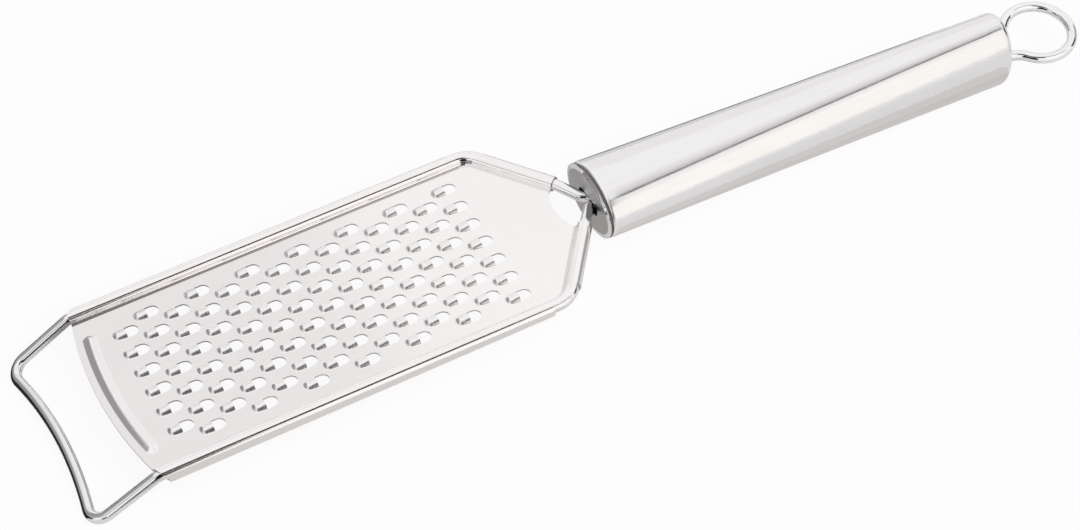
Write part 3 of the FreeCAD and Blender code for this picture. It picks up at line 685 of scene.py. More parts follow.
# Sub-assemblies
@dataclass
class WireFrame:
    """The bent wire: two legs in the handle, the neck, the shoulders, the sides and the foot. Sizes in mm."""

    diameter: float = 3.3
    blade_length: float = 128.7
    half_width: float = 33.0
    rise: float = 0.4
    neck_angle: float = 54.5
    neck_end_aside: float = 9.6
    shoulder_radius: float = 8.0
    neck_radius: float = 4.0
    dip_setback: float = 1.0
    handle_gap: float = 6.0
    handle_drop: float = 1.4
    handle_tilt: float = 2.92
    leg_aside: float = 1.75
    leg_length: float = 30.0
    foot_offset: float = 3.7
    foot_radius: float = 4.5
    foot_angle: float = 26.1
    foot_reach: float = 21.4
    foot_inset: float = 0.7
    foot_corner: float = 4.85
    foot_dip: float = 2.8
    bar_facet: float = 1.2

    def neck_along(self) -> Vector:
        """The left wire's direction from the shoulder towards the handle."""
        turn = math.radians(self.neck_angle)
        return Vector((math.cos(turn), -math.sin(turn), 0))

    def neck_outward(self) -> Vector:
        """The direction outwards from the left wire of the neck."""
        turn = math.radians(self.neck_angle)
        return Vector((math.sin(turn), math.cos(turn), 0))

    def shoulder(self) -> Vector:
        """Where the lines of the left side and the neck meet, at the sheet's level."""
        return Vector((self.blade_length, self.half_width, 0))

    def neck_end(self) -> Vector:
        """The left wire where its hem ends, at the sheet's level."""
        length = (self.half_width - self.neck_end_aside) / math.sin(math.radians(self.neck_angle))
        return self.shoulder() + self.neck_along() * length

    def foot_point(self, forward: float, aside: float) -> Vector:
        """A point of the foot.

        Args:
            forward: How far from its bend, along its slope.
            aside: How far from the middle.

        Returns:
            The point in the plate's frame.
        """
        slope = math.radians(self.foot_angle)
        slant = Vector((-math.cos(slope), 0, -math.sin(slope)))
        return Vector((self.foot_offset, aside, self.rise)) + slant * forward

    def leg_points(self) -> tuple[Vector, Vector]:
        """Finds where the left leg runs in the handle.

        Returns:
            The leg's end inside the handle, and the corner where it enters the plug.
        """
        tilt = math.radians(self.handle_tilt)
        inwards = Vector((math.cos(tilt), 0, -math.sin(tilt)))
        neck_end = self.neck_end()
        mouth = Vector((neck_end.x + self.handle_gap, self.leg_aside, -self.handle_drop))
        run = (neck_end.y - self.leg_aside) / math.tan(math.radians(self.neck_angle))
        return mouth + inwards * self.leg_length, mouth + inwards * (run - self.handle_gap)

    def build(self) -> bpy.types.Object:
        """Bends the whole wire, from the left leg round to the right one.

        Returns:
            The wire's piece.
        """
        leg_end, entry = self.leg_points()
        dip = self.neck_end() + self.neck_along() * self.dip_setback + UP * self.rise
        shoulder = self.shoulder() + UP * self.rise
        bend = self.foot_point(0, self.half_width)
        corner_forward = self.foot_reach - self.foot_corner
        corner_aside = self.half_width - self.foot_inset - self.foot_corner
        corner = self.foot_point(corner_forward, corner_aside)
        reach = math.hypot(corner_forward, corner_aside - self.half_width)
        aim = math.atan2(corner_aside - self.half_width, corner_forward) + math.asin(self.foot_corner / reach)
        touch = self.foot_point(corner_forward - self.foot_corner * math.sin(aim),
                                corner_aside + self.foot_corner * math.cos(aim))
        lead = self.foot_corner - self.foot_dip
        bow = (lead ** 2 + corner_aside ** 2 - self.foot_corner ** 2) / (2 * self.foot_dip)
        bow_forward = self.foot_reach - self.foot_dip + bow
        slant = math.atan2(corner_aside, bow_forward - corner_forward)
        join = self.foot_point(corner_forward + self.foot_corner * math.cos(slant),
                               corner_aside - self.foot_corner * math.sin(slant))
        wire = WireBender(leg_end, entry - leg_end, self.diameter)
        wire.round_corner(entry, dip, self.neck_radius)
        wire.round_corner(dip, shoulder, self.neck_radius)
        wire.round_corner(shoulder, bend, self.shoulder_radius)
        wire.round_corner(bend, touch, self.foot_radius)
        wire.run_to(touch)
        wire.bend_towards(corner, join)
        centre = self.foot_point(bow_forward, 0)
        half = (join - centre).angle(mirrored(join) - centre)
        axis = (join - centre).cross(mirrored(join) - centre).normalized()
        wire.bend(centre, axis, half, self.bar_facet)
        wire.bend_towards(mirrored(corner), mirrored(touch))
        wire.round_corner(mirrored(bend), mirrored(shoulder), self.foot_radius)
        wire.round_corner(mirrored(shoulder), mirrored(dip), self.shoulder_radius)
        wire.round_corner(mirrored(dip), mirrored(entry), self.neck_radius)
        wire.round_corner(mirrored(entry), mirrored(leg_end), self.neck_radius)
        wire.run_to(mirrored(leg_end))
        return seat_piece(wire.cut_off(), "bent_frame_wire", PLATE_SEAT.matrix(), [WIRE_FINISH],
                          ["frame_wire"])


@dataclass
class ToothPunch:
    """One raised tooth: a scoop drawn up to a cutting edge, with an opening behind it. Sizes in mm.

    The rise pairs a distance outside the tooth's outline with a height over the sheet, from the flat sheet
    inwards.
    """

    width: float = 3.8
    opening: float = 3.7
    height: float = 1.3
    barrel: float = 2.5
    nose_reach: float = 1.05
    slope: float = 9.0
    rise: tuple[tuple[float, float], ...] = ((0.75, 0.0), (0.4, 0.0), (0.12, 0.02))
    foot_height: float = 0.09
    levels: int = 8
    side_steps: int = 3
    nose_steps: int = 12

    def __post_init__(self) -> None:
        """Works out the round of the scoop from its width and height."""
        self.half = self.width / 2
        self.radius = (self.half ** 2 + self.height ** 2) / (2 * self.height)
        self.depth = self.radius - self.height
        self.fall = math.tan(math.radians(self.slope))

    def reach_aside(self, back: float) -> float:
        """Half the scoop's width where it leaves the sheet, at a distance ahead of the cutting edge."""
        return math.sqrt(self.radius ** 2 - (self.depth + back * self.fall) ** 2)

    def scoop_height(self, x: float, y: float) -> float:
        """How high the scoop stands over a point of the sheet.

        Args:
            x: How far behind the cutting edge the point is, negative ahead of it.
            y: How far it is from the tooth's middle line.

        Returns:
            The height over the sheet's top face.
        """
        back = min(-x, self.barrel)
        ahead = max(0.0, -x - self.barrel) * self.reach_aside(self.barrel) / self.nose_reach
        return math.sqrt(max(0.0, self.radius ** 2 - y ** 2 - ahead ** 2)) - self.depth - back * self.fall

    def front_line(self, spread: float) -> list[tuple[Vector, Vector]]:
        """The scoop's outline from the left end of the cutting edge round the nose to the right end.

        Args:
            spread: How far outside the scoop the line runs.

        Returns:
            Pairs of a point of the line and the point of the ridge that it is drawn up to.
        """
        side = [(Vector((-back, self.reach_aside(back) + spread, 0)), Vector((-back, 0, 0)))
                for back in spread_evenly(0, self.barrel, self.side_steps)[:-1]]
        nose = Vector((-self.barrel, 0, 0))
        aside = self.reach_aside(self.barrel) + spread
        squeeze = (self.nose_reach + spread) / aside
        angles = spread_evenly(90, 270, self.nose_steps)
        round_nose = [(polar(nose, aside, angle, squeeze), nose) for angle in angles]
        return side + round_nose + [(mirrored(point), ridge) for point, ridge in reversed(side)]

    def rear_line(self, spread: float) -> list[Vector]:
        """The opening's outline from the right end of the cutting edge to the left one, ends left out.

        Args:
            spread: How far outside the opening the line runs.

        Returns:
            The points.
        """
        middle = Vector((self.opening - self.half, 0, 0))
        radius = self.half + spread
        start = Vector((middle.x / 2, -radius, 0))
        arc = [polar(middle, radius, angle) for angle in spread_evenly(-90, 90, self.nose_steps)]
        return [start, *arc, mirrored(start)]

    def loop(self, spread: float, lift: float) -> list[Vector]:
        """The closed outline of scoop and opening, with the scoop's part lifted a little."""
        front = [point + UP * lift for point, _ridge in self.front_line(spread)]
        return front + self.rear_line(spread)

    def punch(self, bm: BMesh, place: Vector, drawn: bmesh.types.BMLayerItem) -> list[BMEdge]:
        """Draws one tooth.

        Args:
            bm: The sheet's mesh.
            place: The middle of the cutting edge.
            drawn: Marks the vertices where the sheet is stretched.

        Returns:
            The edges that the flat sheet is to meet.
        """
        outlines = [[place + point for point in self.loop(spread, lift)] for spread, lift in self.rise]
        outer = draw_chain(bm, outlines[0], True)
        inner = press_rings(bm, outer, outlines[1:], True)
        line = self.front_line(0)
        front = inner[:len(line)]
        for vert in front:
            vert[drawn] = 1.0
        lean = math.acos(self.depth / self.radius)
        levels = []
        for level in range(self.levels + 1):
            share = 1 - math.sin(lean * (1 - level / self.levels)) / math.sin(lean)
            ring = []
            for point, ridge in line:
                spot = point.lerp(ridge, share)
                lift = max(self.foot_height, self.scoop_height(spot.x, spot.y))
                ring.append(place + Vector((spot.x, spot.y, lift)))
            levels.append(ring)
        press_rings(bm, front, levels, False)
        return chain_edges(bm, outer, True)


@dataclass
class Bead:
    """The stiffening ridge along the front edge: flat slopes and a round crest. Sizes in mm.

    The rise pairs a distance outside the ridge's outline with a height over the sheet, from the flat sheet
    inwards, and the profile pairs a distance in from the outline with a height.
    """

    front_radius: float = 132.0
    offset: float = 4.0
    width: float = 3.8
    height: float = 0.9
    half_span: float = 22.47
    rise: tuple[tuple[float, float], ...] = ((0.9, 0.0), (0.5, 0.0), (0.2, 0.01))
    profile: tuple[tuple[float, float], ...] = ((0.0, 0.04), (0.25, 0.17), (0.6, 0.36), (0.95, 0.55),
                                                (1.25, 0.7), (1.5, 0.81), (1.7, 0.87))
    side_steps: int = 22
    end_steps: int = 8

    def line(self, spread: float) -> list[tuple[Vector, Vector]]:
        """The ridge's outline.

        Args:
            spread: How far outside the ridge the line runs.

        Returns:
            Pairs of a point of the line and the point of the crest that it is drawn up to.
        """
        bow = self.front_radius - self.offset
        sweep = math.degrees(math.asin(self.half_span / bow))
        centre = Vector((self.front_radius, 0, 0))
        half = self.width / 2 + spread
        pairs = []
        for sign in (1, -1):
            angles = spread_evenly(180 - sweep * sign, 180 + sweep * sign, self.side_steps)
            pairs += [(polar(centre, bow + half * sign, angle), polar(centre, bow, angle))
                      for angle in angles]
            end = polar(centre, bow, 180 + sweep * sign)
            first = 180 + sweep * sign + (0 if sign > 0 else 180)
            pairs += [(polar(end, half, angle), end)
                      for angle in spread_evenly(first, first + 180, self.end_steps)[1:-1]]
        return pairs

    def press(self, bm: BMesh) -> list[BMEdge]:
        """Draws the ridge.

        Args:
            bm: The mesh.

        Returns:
            The edges that the flat sheet is to meet.
        """
        outlines = [[point + UP * lift for point, _crest in self.line(spread)] for spread, lift in self.rise]
        outer = draw_chain(bm, outlines[0], True)
        rings = outlines[1:]
        for inward, lift in self.profile:
            share = inward * 2 / self.width
            rings.append([point.lerp(crest, share) + UP * lift for point, crest in self.line(0)])
        rings.append([crest + UP * self.height for _point, crest in self.line(0)])
        press_rings(bm, outer, rings, True)
        return chain_edges(bm, outer, True)


@dataclass
class GratingPlate:
    """The stamped sheet with its hems rolled round the wire, its bead and its teeth. Sizes in mm."""

    wire: WireFrame
    tooth: ToothPunch
    bead: Bead
    sheet: float = 0.5
    clearance: float = 0.05
    crease_radius: float = 1.35
    wrap: float = 140.0
    open_fold: float = 60.0
    front_corner: float = 0.55
    rear_corner: float = 1.8
    front_slant: float = 26.0
    front_lean: float = 22.0
    side_setback: float = 6.0
    neck_setback: float = 5.0
    notch_depth: float = 1.7
    relief_radius: float = 0.3
    relief_offset: float = 2.3
    pitch_across: float = 8.0
    pitch_along: float = 7.765
    first_edge: float = 15.8
    columns: int = 14
    fewest_teeth: int = 6
    flat_strip: float = 0.6
    corner_drop: float = 0.02
    tail_start: float = 96.0
    hem_end: float = 0.8
    relief_band: tuple[float, float] = (0.2, 0.5)
    crease_rows: tuple[int, int] = (2, 5)
    # Painted shade in the crease: how far it fades from front to rear, where the fade ends, and its strength
    # along the neck.
    crease_shade_fade: float = 0.5
    crease_shade_end: float = 0.97
    neck_crease_shade: float = 0.22
    roll_steps: int = 8
    wrap_steps: int = 24
    tail_steps: int = 5
    side_steps: int = 5
    shoulder_steps: int = 48
    edge_steps: int = 24
    merge: float = 0.004
    flat_share: float = 0.999

    def __post_init__(self) -> None:
        """Works out where the crease stands beside the wire."""
        middle = self.wire.diameter / 2 + self.clearance + self.sheet / 2
        self.roll_radius = middle + self.sheet / 2
        self.crease_inner = self.crease_radius - self.sheet / 2
        self.crease_rise = self.crease_inner - self.wire.rise
        self.crease_aside = math.sqrt((middle + self.crease_radius) ** 2 - self.crease_rise ** 2)
        self.flat_half = self.wire.half_width - self.crease_aside

    def front_edge(self, aside: float) -> float:
        """Where the bowed front edge stands at a distance from the middle."""
        radius = self.bead.front_radius
        return radius - math.sqrt(radius ** 2 - aside ** 2)

    def inner_section(self) -> list[Vector]:
        """The part of the hem's outer face that follows the wire all the way.

        Returns:
            The points, with X outwards from the wire and Y up from it.
        """
        crease = Vector((-self.crease_aside, self.crease_rise, 0))
        meet = math.degrees(math.atan2(-self.crease_rise, self.crease_aside))
        flat = crease + Vector((-self.flat_strip, -self.crease_inner, 0))
        bend = [polar(crease, self.crease_inner, angle)
                for angle in spread_evenly(-90, meet, self.roll_steps)]
        angles = spread_evenly(180 + meet, self.open_fold, self.wrap_steps)[1:]
        return [flat, *bend, *(polar(ORIGIN, self.roll_radius, angle) for angle in angles)]

    def outer_section(self, corner: float) -> list[Vector]:
        """The rest of the hem's outer face, which only the straight hems have.

        Args:
            corner: The radius of its lower outer corner. The sheet hugs the wire where it is the roll's own.

        Returns:
            The points, with X outwards from the wire and Y up from it.
        """
        inset = self.roll_radius - corner
        low = Vector((inset, -inset - self.corner_drop, 0))
        roll = spread_evenly(self.open_fold, 0, self.roll_steps)
        tail = spread_evenly(-self.tail_start, -self.wrap, self.tail_steps)
        bend = [polar(low, corner, angle) for angle in spread_evenly(0, -90, self.roll_steps)]
        return [*(polar(ORIGIN, self.roll_radius, angle) for angle in roll), *bend,
                *(polar(ORIGIN, self.roll_radius, angle) for angle in tail)]

    def stand(self, points: Sequence[Vector], start: Vector, outward: Vector) -> list[Vector]:
        """Stands the section across the wire.

        Args:
            points: The section's points.
            start: A point of the wire's line, at the sheet's level.
            outward: The direction outwards from the wire.

        Returns:
            The points in the plate's frame.
        """
        return [start + outward * point.x + UP * (point.y + self.wire.rise) for point in points]

    def slant_front(self, chain: Iterable[BMVert]) -> None:
        """Cuts the hem's front end slanting outwards and downwards.

        Args:
            chain: The vertices of the hem's front end.
        """
        for vert in chain:
            if vert.co.y < self.flat_half:
                vert.co.x = self.front_edge(vert.co.y)
            else:
                vert.co.x = self.front_edge(self.flat_half)
                vert.co.x += (vert.co.y - self.flat_half) * math.tan(math.radians(self.front_slant))
                vert.co.x -= vert.co.z * math.tan(math.radians(self.front_lean))

    def roll_left_hem(self, bm: BMesh, seam: bmesh.types.BMLayerItem,
                      crease: bmesh.types.BMLayerItem) -> None:
        """Rolls the left edge of the sheet round the wire, from the front to the neck.

        Args:
            bm: The mesh.
            seam: Marks the vertices that the flat sheet is to meet.
            crease: Marks the vertices of the crease, which take painted shade.
        """
        wire = self.wire
        inner, outer = self.inner_section(), self.outer_section(self.roll_radius)
        setback = wire.shoulder_radius * math.tan(math.radians(wire.neck_angle) / 2)
        centre = wire.shoulder() - ALONG * setback - ACROSS * wire.shoulder_radius
        front = Vector((self.front_edge(self.flat_half), wire.half_width, 0))
        side_end = wire.shoulder() - ALONG * self.side_setback
        neck = [wire.shoulder() + wire.neck_along() * self.neck_setback,
                wire.neck_end() - wire.neck_along() * self.hem_end, wire.neck_end()]
        shares = spread_evenly(0, 1, self.side_steps)[1:]
        chain = draw_chain(bm, self.stand(inner, front, ACROSS), False)
        chain[0][seam] = 1
        for vert in chain[slice(*self.crease_rows)]:
            vert[crease] = 1.0
        self.slant_front(chain)
        straight = [self.stand(inner, front.lerp(side_end, share), ACROSS) for share in shares]
        straight.append(self.stand(inner, wire.shoulder() - ALONG * setback, ACROSS))
        chain = press_rings(bm, chain, straight, False)
        turn = Matrix.Rotation(-math.radians(wire.neck_angle) / self.shoulder_steps, 4, "Z")
        move = Matrix.Translation(centre) @ turn @ Matrix.Translation(-centre)
        for _step in range(self.shoulder_steps):
            chain = extrude_chain(bm, chain, False)
            bmesh.ops.transform(bm, matrix=move, verts=chain)
        neck_rings = [self.stand(inner, place, wire.neck_outward()) for place in neck]
        chain = press_rings(bm, chain, neck_rings, False)
        rear_aside = wire.neck_end() - wire.neck_outward() * self.crease_aside
        chain[0].co.x = rear_aside.x - self.notch_depth * (1 - (chain[0].co.y / rear_aside.y) ** 2)
        side = draw_chain(bm, self.stand(self.outer_section(self.front_corner), front, ACROSS), False)
        self.slant_front(side)
        growth = self.rear_corner - self.front_corner
        press_rings(bm, side, [self.stand(self.outer_section(self.front_corner + growth * share),
                                          front.lerp(side_end, share), ACROSS) for share in shares], False)
        sections = [self.stand(outer, place, wire.neck_outward()) for place in neck]
        press_rings(bm, draw_chain(bm, sections[0], False), sections[1:], False)
        # Painted shade in the crease, darkest at the front, fading towards the rear, and lighter along the
        # neck.
        for vert in bm.verts:
            if vert[crease]:
                share = vert.co.x / wire.blade_length
                vert[crease] = 1 - self.crease_shade_fade * share if share < self.crease_shade_end else self.neck_crease_shade
        self.pierce_relief(bm, centre)

    def pierce_relief(self, bm: BMesh, centre: Vector) -> None:
        """Pierces the small relief hole in the crease at the shoulder.

        Args:
            bm: The mesh.
            centre: The middle of the shoulder's bend.
        """
        towards = (self.wire.shoulder() - centre).normalized()
        middle = centre + towards * (self.wire.shoulder_radius - self.relief_offset)
        low, high = self.relief_band
        inside = []
        for face in bm.faces:
            place = face.calc_center_median()
            if (place - middle).xy.length < self.relief_radius and low < place.z < high:
                inside.append(face)
        bmesh.ops.delete(bm, geom=inside, context="FACES")

    def tooth_places(self) -> list[Vector]:
        """Places the teeth, staggered from column to column.

        Returns:
            The middle of every cutting edge.
        """
        places = []
        for column in range(self.columns):
            count = self.fewest_teeth + column % 2
            for index in range(count):
                aside = (index - (count - 1) / 2) * self.pitch_across
                places.append(Vector((self.first_edge + column * self.pitch_along, aside, 0)))
        return places

    def join_hems(self, bm: BMesh, seam: bmesh.types.BMLayerItem) -> list[BMEdge]:
        """Draws the sheet's front edge and its notched rear edge from the left hem to the right one.

        Args:
            bm: The mesh.
            seam: Marks the vertices that the flat sheet is to meet.

        Returns:
            The edges round the flat sheet.
        """
        marked = [vert for vert in bm.verts if vert[seam]]
        borders = [edge for edge in bm.edges if edge.verts[0][seam] and edge.verts[1][seam]]
        for pick in (min, max):
            left, right = (pick((vert for vert in marked if vert.co.y * side > 0), key=lambda vert: vert.co.x)
                           for side in (1, -1))
            chain = [left]
            for aside in spread_evenly(left.co.y, right.co.y, self.edge_steps)[1:-1]:
                notched = left.co.x - self.notch_depth * (1 - (aside / left.co.y) ** 2)
                chain.append(bm.verts.new((self.front_edge(aside) if pick is min else notched, aside, 0)))
            chain.append(right)
            borders += [bm.edges.new(pair) for pair in pairs_along(chain, False)]
        return borders

    def build(self) -> bpy.types.Object:
        """The whole plate, from its outer face inwards.

        Returns:
            The plate's piece.
        """
        bm = bmesh.new()
        seam = bm.verts.layers.int.new("seam")
        crease = bm.verts.layers.float.new("crease")
        drawn = bm.verts.layers.float.new("drawn")
        self.roll_left_hem(bm, seam, crease)
        copy = bmesh.ops.duplicate(bm, geom=bm.verts[:] + bm.edges[:] + bm.faces[:])["geom"]
        bmesh.ops.scale(bm, vec=(1, -1, 1), verts=vertices_in(copy))
        borders = self.join_hems(bm, seam)
        borders += self.bead.press(bm)
        for place in self.tooth_places():
            borders += self.tooth.punch(bm, place, drawn)
        bmesh.ops.triangle_fill(bm, use_beauty=True, edges=borders, normal=UP)
        bmesh.ops.remove_doubles(bm, verts=bm.verts[:], dist=self.merge)
        bmesh.ops.recalc_face_normals(bm, faces=bm.faces[:])
        flat = max(bm.faces, key=lambda face: face.calc_area() if abs(face.normal.z) > self.flat_share else 0)
        if flat.normal.z < 0:
            bmesh.ops.reverse_faces(bm, faces=bm.faces[:])
        thicken(bm, self.sheet, 1)
        return seat_piece(bm, "stamped_plate", PLATE_SEAT.matrix(), [SHEET_FINISH, EDGE_FINISH],
                          ["grating_plate"], outward=False)


@dataclass
class OvalHandle:
    """The hollow handle: a tube with a rolled mouth, a drawn cap at its rear end and a plug. Sizes in mm.

    The plug's bevel pairs a distance behind the handle's front face with an inset from the plug's flange.
    """

    length: float = 139.3
    mouth_half_width: float = 13.8
    mouth_half_height: float = 9.7
    tail_half_width: float = 9.1
    tail_half_height: float = 12.6
    wall: float = 0.8
    tube_start: float = 1.05
    mouth_round: float = 1.2
    mouth_lip: float = 1.7
    cap_length: float = 7.0
    cap_round: float = 2.6
    flange: float = 1.0
    flange_inset: float = 0.15
    bevel: tuple[tuple[float, float], ...] = ((0.0, 1.4), (0.03, 1.32), (0.27, 0.1), (0.37, 0.0))
    plug_depth: float = 5.0
    plug_clearance: float = 0.05
    slot_half_length: float = 5.7
    slot_half_height: float = 2.0
    loop_spread: float = 4.6
    loop_turn: float = 7.5
    loop_hole: float = 1.6
    hole_rim: float = 0.3
    slot_edge: float = 0.25
    lip_round: float = 0.2
    seam_step: float = 0.4
    face_step: float = 0.4
    plug_face_step: float = 0.3
    tube_steps: int = 16
    mouth_steps: int = 6
    cap_steps: int = 10
    slot_steps: int = 12
    hole_facets: int = 28
    plug_crease: float = 24.0
    merge: float = 0.003

    def oval(self, distance: float, inset: float) -> Oval:
        """The handle's oval at a place along it.

        Args:
            distance: How far behind its front face.
            inset: How much smaller it is all round.

        Returns:
            The oval.
        """
        share = distance / self.length
        half_width = self.mouth_half_width + (self.tail_half_width - self.mouth_half_width) * share
        half_height = self.mouth_half_height + (self.tail_half_height - self.mouth_half_height) * share
        return Oval(distance, half_width - inset, half_height - inset)

    def plug_oval(self, distance: float, inset: float) -> Oval:
        """The plug's oval at a distance behind the front face, smaller than its flange by an inset."""
        inset += self.flange_inset
        return Oval(distance, self.mouth_half_width - inset, self.mouth_half_height - inset)

    def rounded_edge(self, face: float, radius: float, steps: int) -> list[Oval]:
        """The ovals of a rounded edge that runs into an end face.

        Args:
            face: Where the end face stands.
            radius: The edge's radius, negative at the rear end.
            steps: How many ovals it takes.

        Returns:
            The ovals, from the side to the end face.
        """
        turns = [math.radians(angle) for angle in spread_evenly(0, 90, steps)[1:]]
        return [self.oval(face + radius * (1 - math.sin(turn)), abs(radius) * (1 - math.cos(turn)))
                for turn in turns]

    def build_tube(self) -> bpy.types.Object:
        """The tube: outside, mouth, rolled lip and inside, drawn in one closed round.

        Returns:
            The tube's piece.
        """
        bm = bmesh.new()
        front, rear, lip = self.tube_start, self.length - self.cap_length, self.mouth_lip
        bend = front + self.mouth_round
        skin = OvalDraw(bm, self.oval(rear, 0))
        skin.to(*(self.oval(bend + (rear - bend) * share, 0)
                  for share in spread_evenly(1, 0, self.tube_steps)[1:]))
        side_faces = len(bm.faces)
        skin.to(*self.rounded_edge(front, self.mouth_round, self.mouth_steps))
        # The rounded mouth takes the lighter copy of the steel, a painted highlight.
        bm.faces.ensure_lookup_table()
        for face in bm.faces[side_faces:]:
            face.material_index = 1
        inside = ((front, lip - self.lip_round), (front + self.lip_round, lip), (front + lip, lip),
                  (front + lip, self.wall), (rear, self.wall), (rear, 0))
        skin.to(*(self.oval(*step) for step in inside))
        bmesh.ops.remove_doubles(bm, verts=bm.verts[:], dist=self.merge)
        return seat_piece(bm, "brushed_tube", HANDLE_SEAT.matrix(), [SHELL_FINISH, MOUTH_FINISH],
                          ["handle_tube"])

    def hole_line(self, side: int) -> list[Vector]:
        """The outline of one of the loop's holes in the cap's end.

        Args:
            side: One for the left hole and minus one for the right one.

        Returns:
            The points.
        """
        turn = Matrix.Rotation(math.radians(self.loop_turn), 3, "X")
        middle = turn @ Vector((self.length, self.loop_spread * side, 0))
        angles = spread_evenly(0, 360, self.hole_facets)[:-1]
        spots = [polar(ORIGIN, self.loop_hole, angle) for angle in angles]
        return [middle + Vector((0, spot.x, spot.y)) for spot in spots]

    def build_cap(self) -> bpy.types.Object:
        """The cap: its side, its rounded edge and its end, pierced for the loop.

        Returns:
            The cap's piece.
        """
        bm = bmesh.new()
        seam = self.length - self.cap_length
        skin = OvalDraw(bm, self.oval(seam, 0))
        skin.to(self.oval(seam + self.seam_step, 0), self.oval(self.length - self.cap_round, 0))
        skin.to(*self.rounded_edge(self.length, -self.cap_round, self.cap_steps))
        skin.to(self.oval(self.length, self.cap_round + self.face_step))
        edges = chain_edges(bm, skin.ring, True)
        for side in (1, -1):
            hole = draw_chain(bm, self.hole_line(side), True)
            rim = extrude_chain(bm, hole, True)
            middle = sum((vert.co for vert in hole), Vector()) / len(hole)
            for vert in rim:
                vert.co = middle + (vert.co - middle) * (1 + self.hole_rim / self.loop_hole)
            edges += chain_edges(bm, rim, True)
        bmesh.ops.triangle_fill(bm, use_beauty=True, edges=edges, normal=ALONG)
        bmesh.ops.recalc_face_normals(bm, faces=bm.faces[:])
        end = max(bm.faces, key=lambda face: face.calc_center_median().x)
        if end.normal.x < 0:
            bmesh.ops.reverse_faces(bm, faces=bm.faces[:])
        thicken(bm, self.wall)
        return seat_piece(bm, "drawn_cap", HANDLE_SEAT.matrix(), [SHELL_FINISH], ["rear_cap"],
                          outward=False)

    def slot_line(self, distance: float) -> list[Vector]:
        """The outline of the slot for the legs.

        Args:
            distance: How far behind the handle's front face.

        Returns:
            The points.
        """
        half = self.slot_half_length - self.slot_half_height
        points = []
        for side, first in ((1, -90), (-1, 90)):
            middle = Vector((half * side, 0, 0))
            angles = spread_evenly(first, first + 180, self.slot_steps)
            points += [polar(middle, self.slot_half_height, angle) for angle in angles]
        return [Vector((distance, point.x, point.y)) for point in points]

    def build_plug(self) -> bpy.types.Object:
        """The plug: its face with the slot, its bright bevel, its flange and its spigot.

        Returns:
            The plug's piece.
        """
        bm = bmesh.new()
        spigot = self.mouth_lip + self.plug_clearance - self.flange_inset
        skin = OvalDraw(bm, self.plug_oval(0, self.bevel[0][1] + self.plug_face_step))
        face_edges = chain_edges(bm, skin.ring, True)
        skin.to(self.plug_oval(*self.bevel[0]))
        face_end = len(bm.faces)
        skin.to(*(self.plug_oval(*step) for step in self.bevel[1:]))
        bevel_end = len(bm.faces)
        skin.to(self.plug_oval(self.flange, 0), self.plug_oval(self.flange, spigot),
                self.plug_oval(self.plug_depth, spigot))
        groove_end = len(bm.faces)
        rear_edges = chain_edges(bm, skin.ring, True)
        slot = draw_chain(bm, self.slot_line(0), True)
        face_edges += chain_edges(bm, slot, True)
        steps = [self.slot_line(distance) for distance in (self.slot_edge, self.plug_depth)]
        rear_edges += chain_edges(bm, press_rings(bm, slot, steps, True), True)
        for edges in (face_edges, rear_edges):
            bmesh.ops.triangle_fill(bm, use_beauty=True, edges=edges, normal=-ALONG)
        # The bevel takes the bright finish, and the flange and spigot take the groove's painted shade.
        bm.faces.ensure_lookup_table()
        for index in range(face_end, groove_end):
            bm.faces[index].material_index = 1 if index < bevel_end else 2
        finishes = [FACE_FINISH, BEVEL_FINISH, GROOVE_FINISH]
        return seat_piece(bm, "slotted_plug", HANDLE_SEAT.matrix(), finishes, ["front_plug"],
                          crease=self.plug_crease)


@dataclass
class HangingLoop:
    """The wire loop behind the handle, turned a little about the handle's axis. Sizes in mm."""

    handle: OvalHandle
    diameter: float = 3.1
    radius: float = 10.5
    straight: float = 0.2
    throat_radius: float = 8.6
    leg_length: float = 9.0

    def build(self) -> bpy.types.Object:
        """Bends the loop, from one leg round to the other.

        Returns:
            The loop's piece.
        """
        spread = self.handle.loop_spread
        aside = spread + self.throat_radius
        reach = self.straight + math.sqrt((self.radius + self.throat_radius) ** 2 - aside ** 2)
        ring = Vector((reach, 0, 0))
        throat = Vector((self.straight, aside, 0))
        touch = throat + (ring - throat).normalized() * self.throat_radius
        wire = WireBender(Vector((-self.leg_length, spread, 0)), ALONG, self.diameter)
        wire.run_to(Vector((self.straight, spread, 0)))
        wire.bend_towards(throat, touch)
        wire.bend(ring, -UP, 2 * (touch - ring).angle(ALONG))
        wire.bend_towards(mirrored(throat), Vector((self.straight, -spread, 0)))
        wire.run_to(Vector((-self.leg_length, -spread, 0)))
        turn = Matrix.Rotation(math.radians(self.handle.loop_turn), 4, "X")
        seat = HANDLE_SEAT.matrix() @ Matrix.Translation(ALONG * self.handle.length) @ turn
        return seat_piece(wire.cut_off(), "bent_hanging_loop", seat, [LOOP_FINISH],
                          ["hanging_loop"])


@dataclass
class InnerFittings:
    """The crimped sleeve and the anchor plate inside the handle, kept as the CAD has them."""

    nodes: tuple[str, ...] = ("tang_sleeve", "loop_anchor")

    def dress(self) -> None:
        """Gives each fitting its plain finish."""
        material = FITTING_FINISH.make()
        for name in self.nodes:
            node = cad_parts[name]
            node.data.materials.clear()
            node.data.materials.append(material)
            log.info("%s: kept, with a plain finish", name)


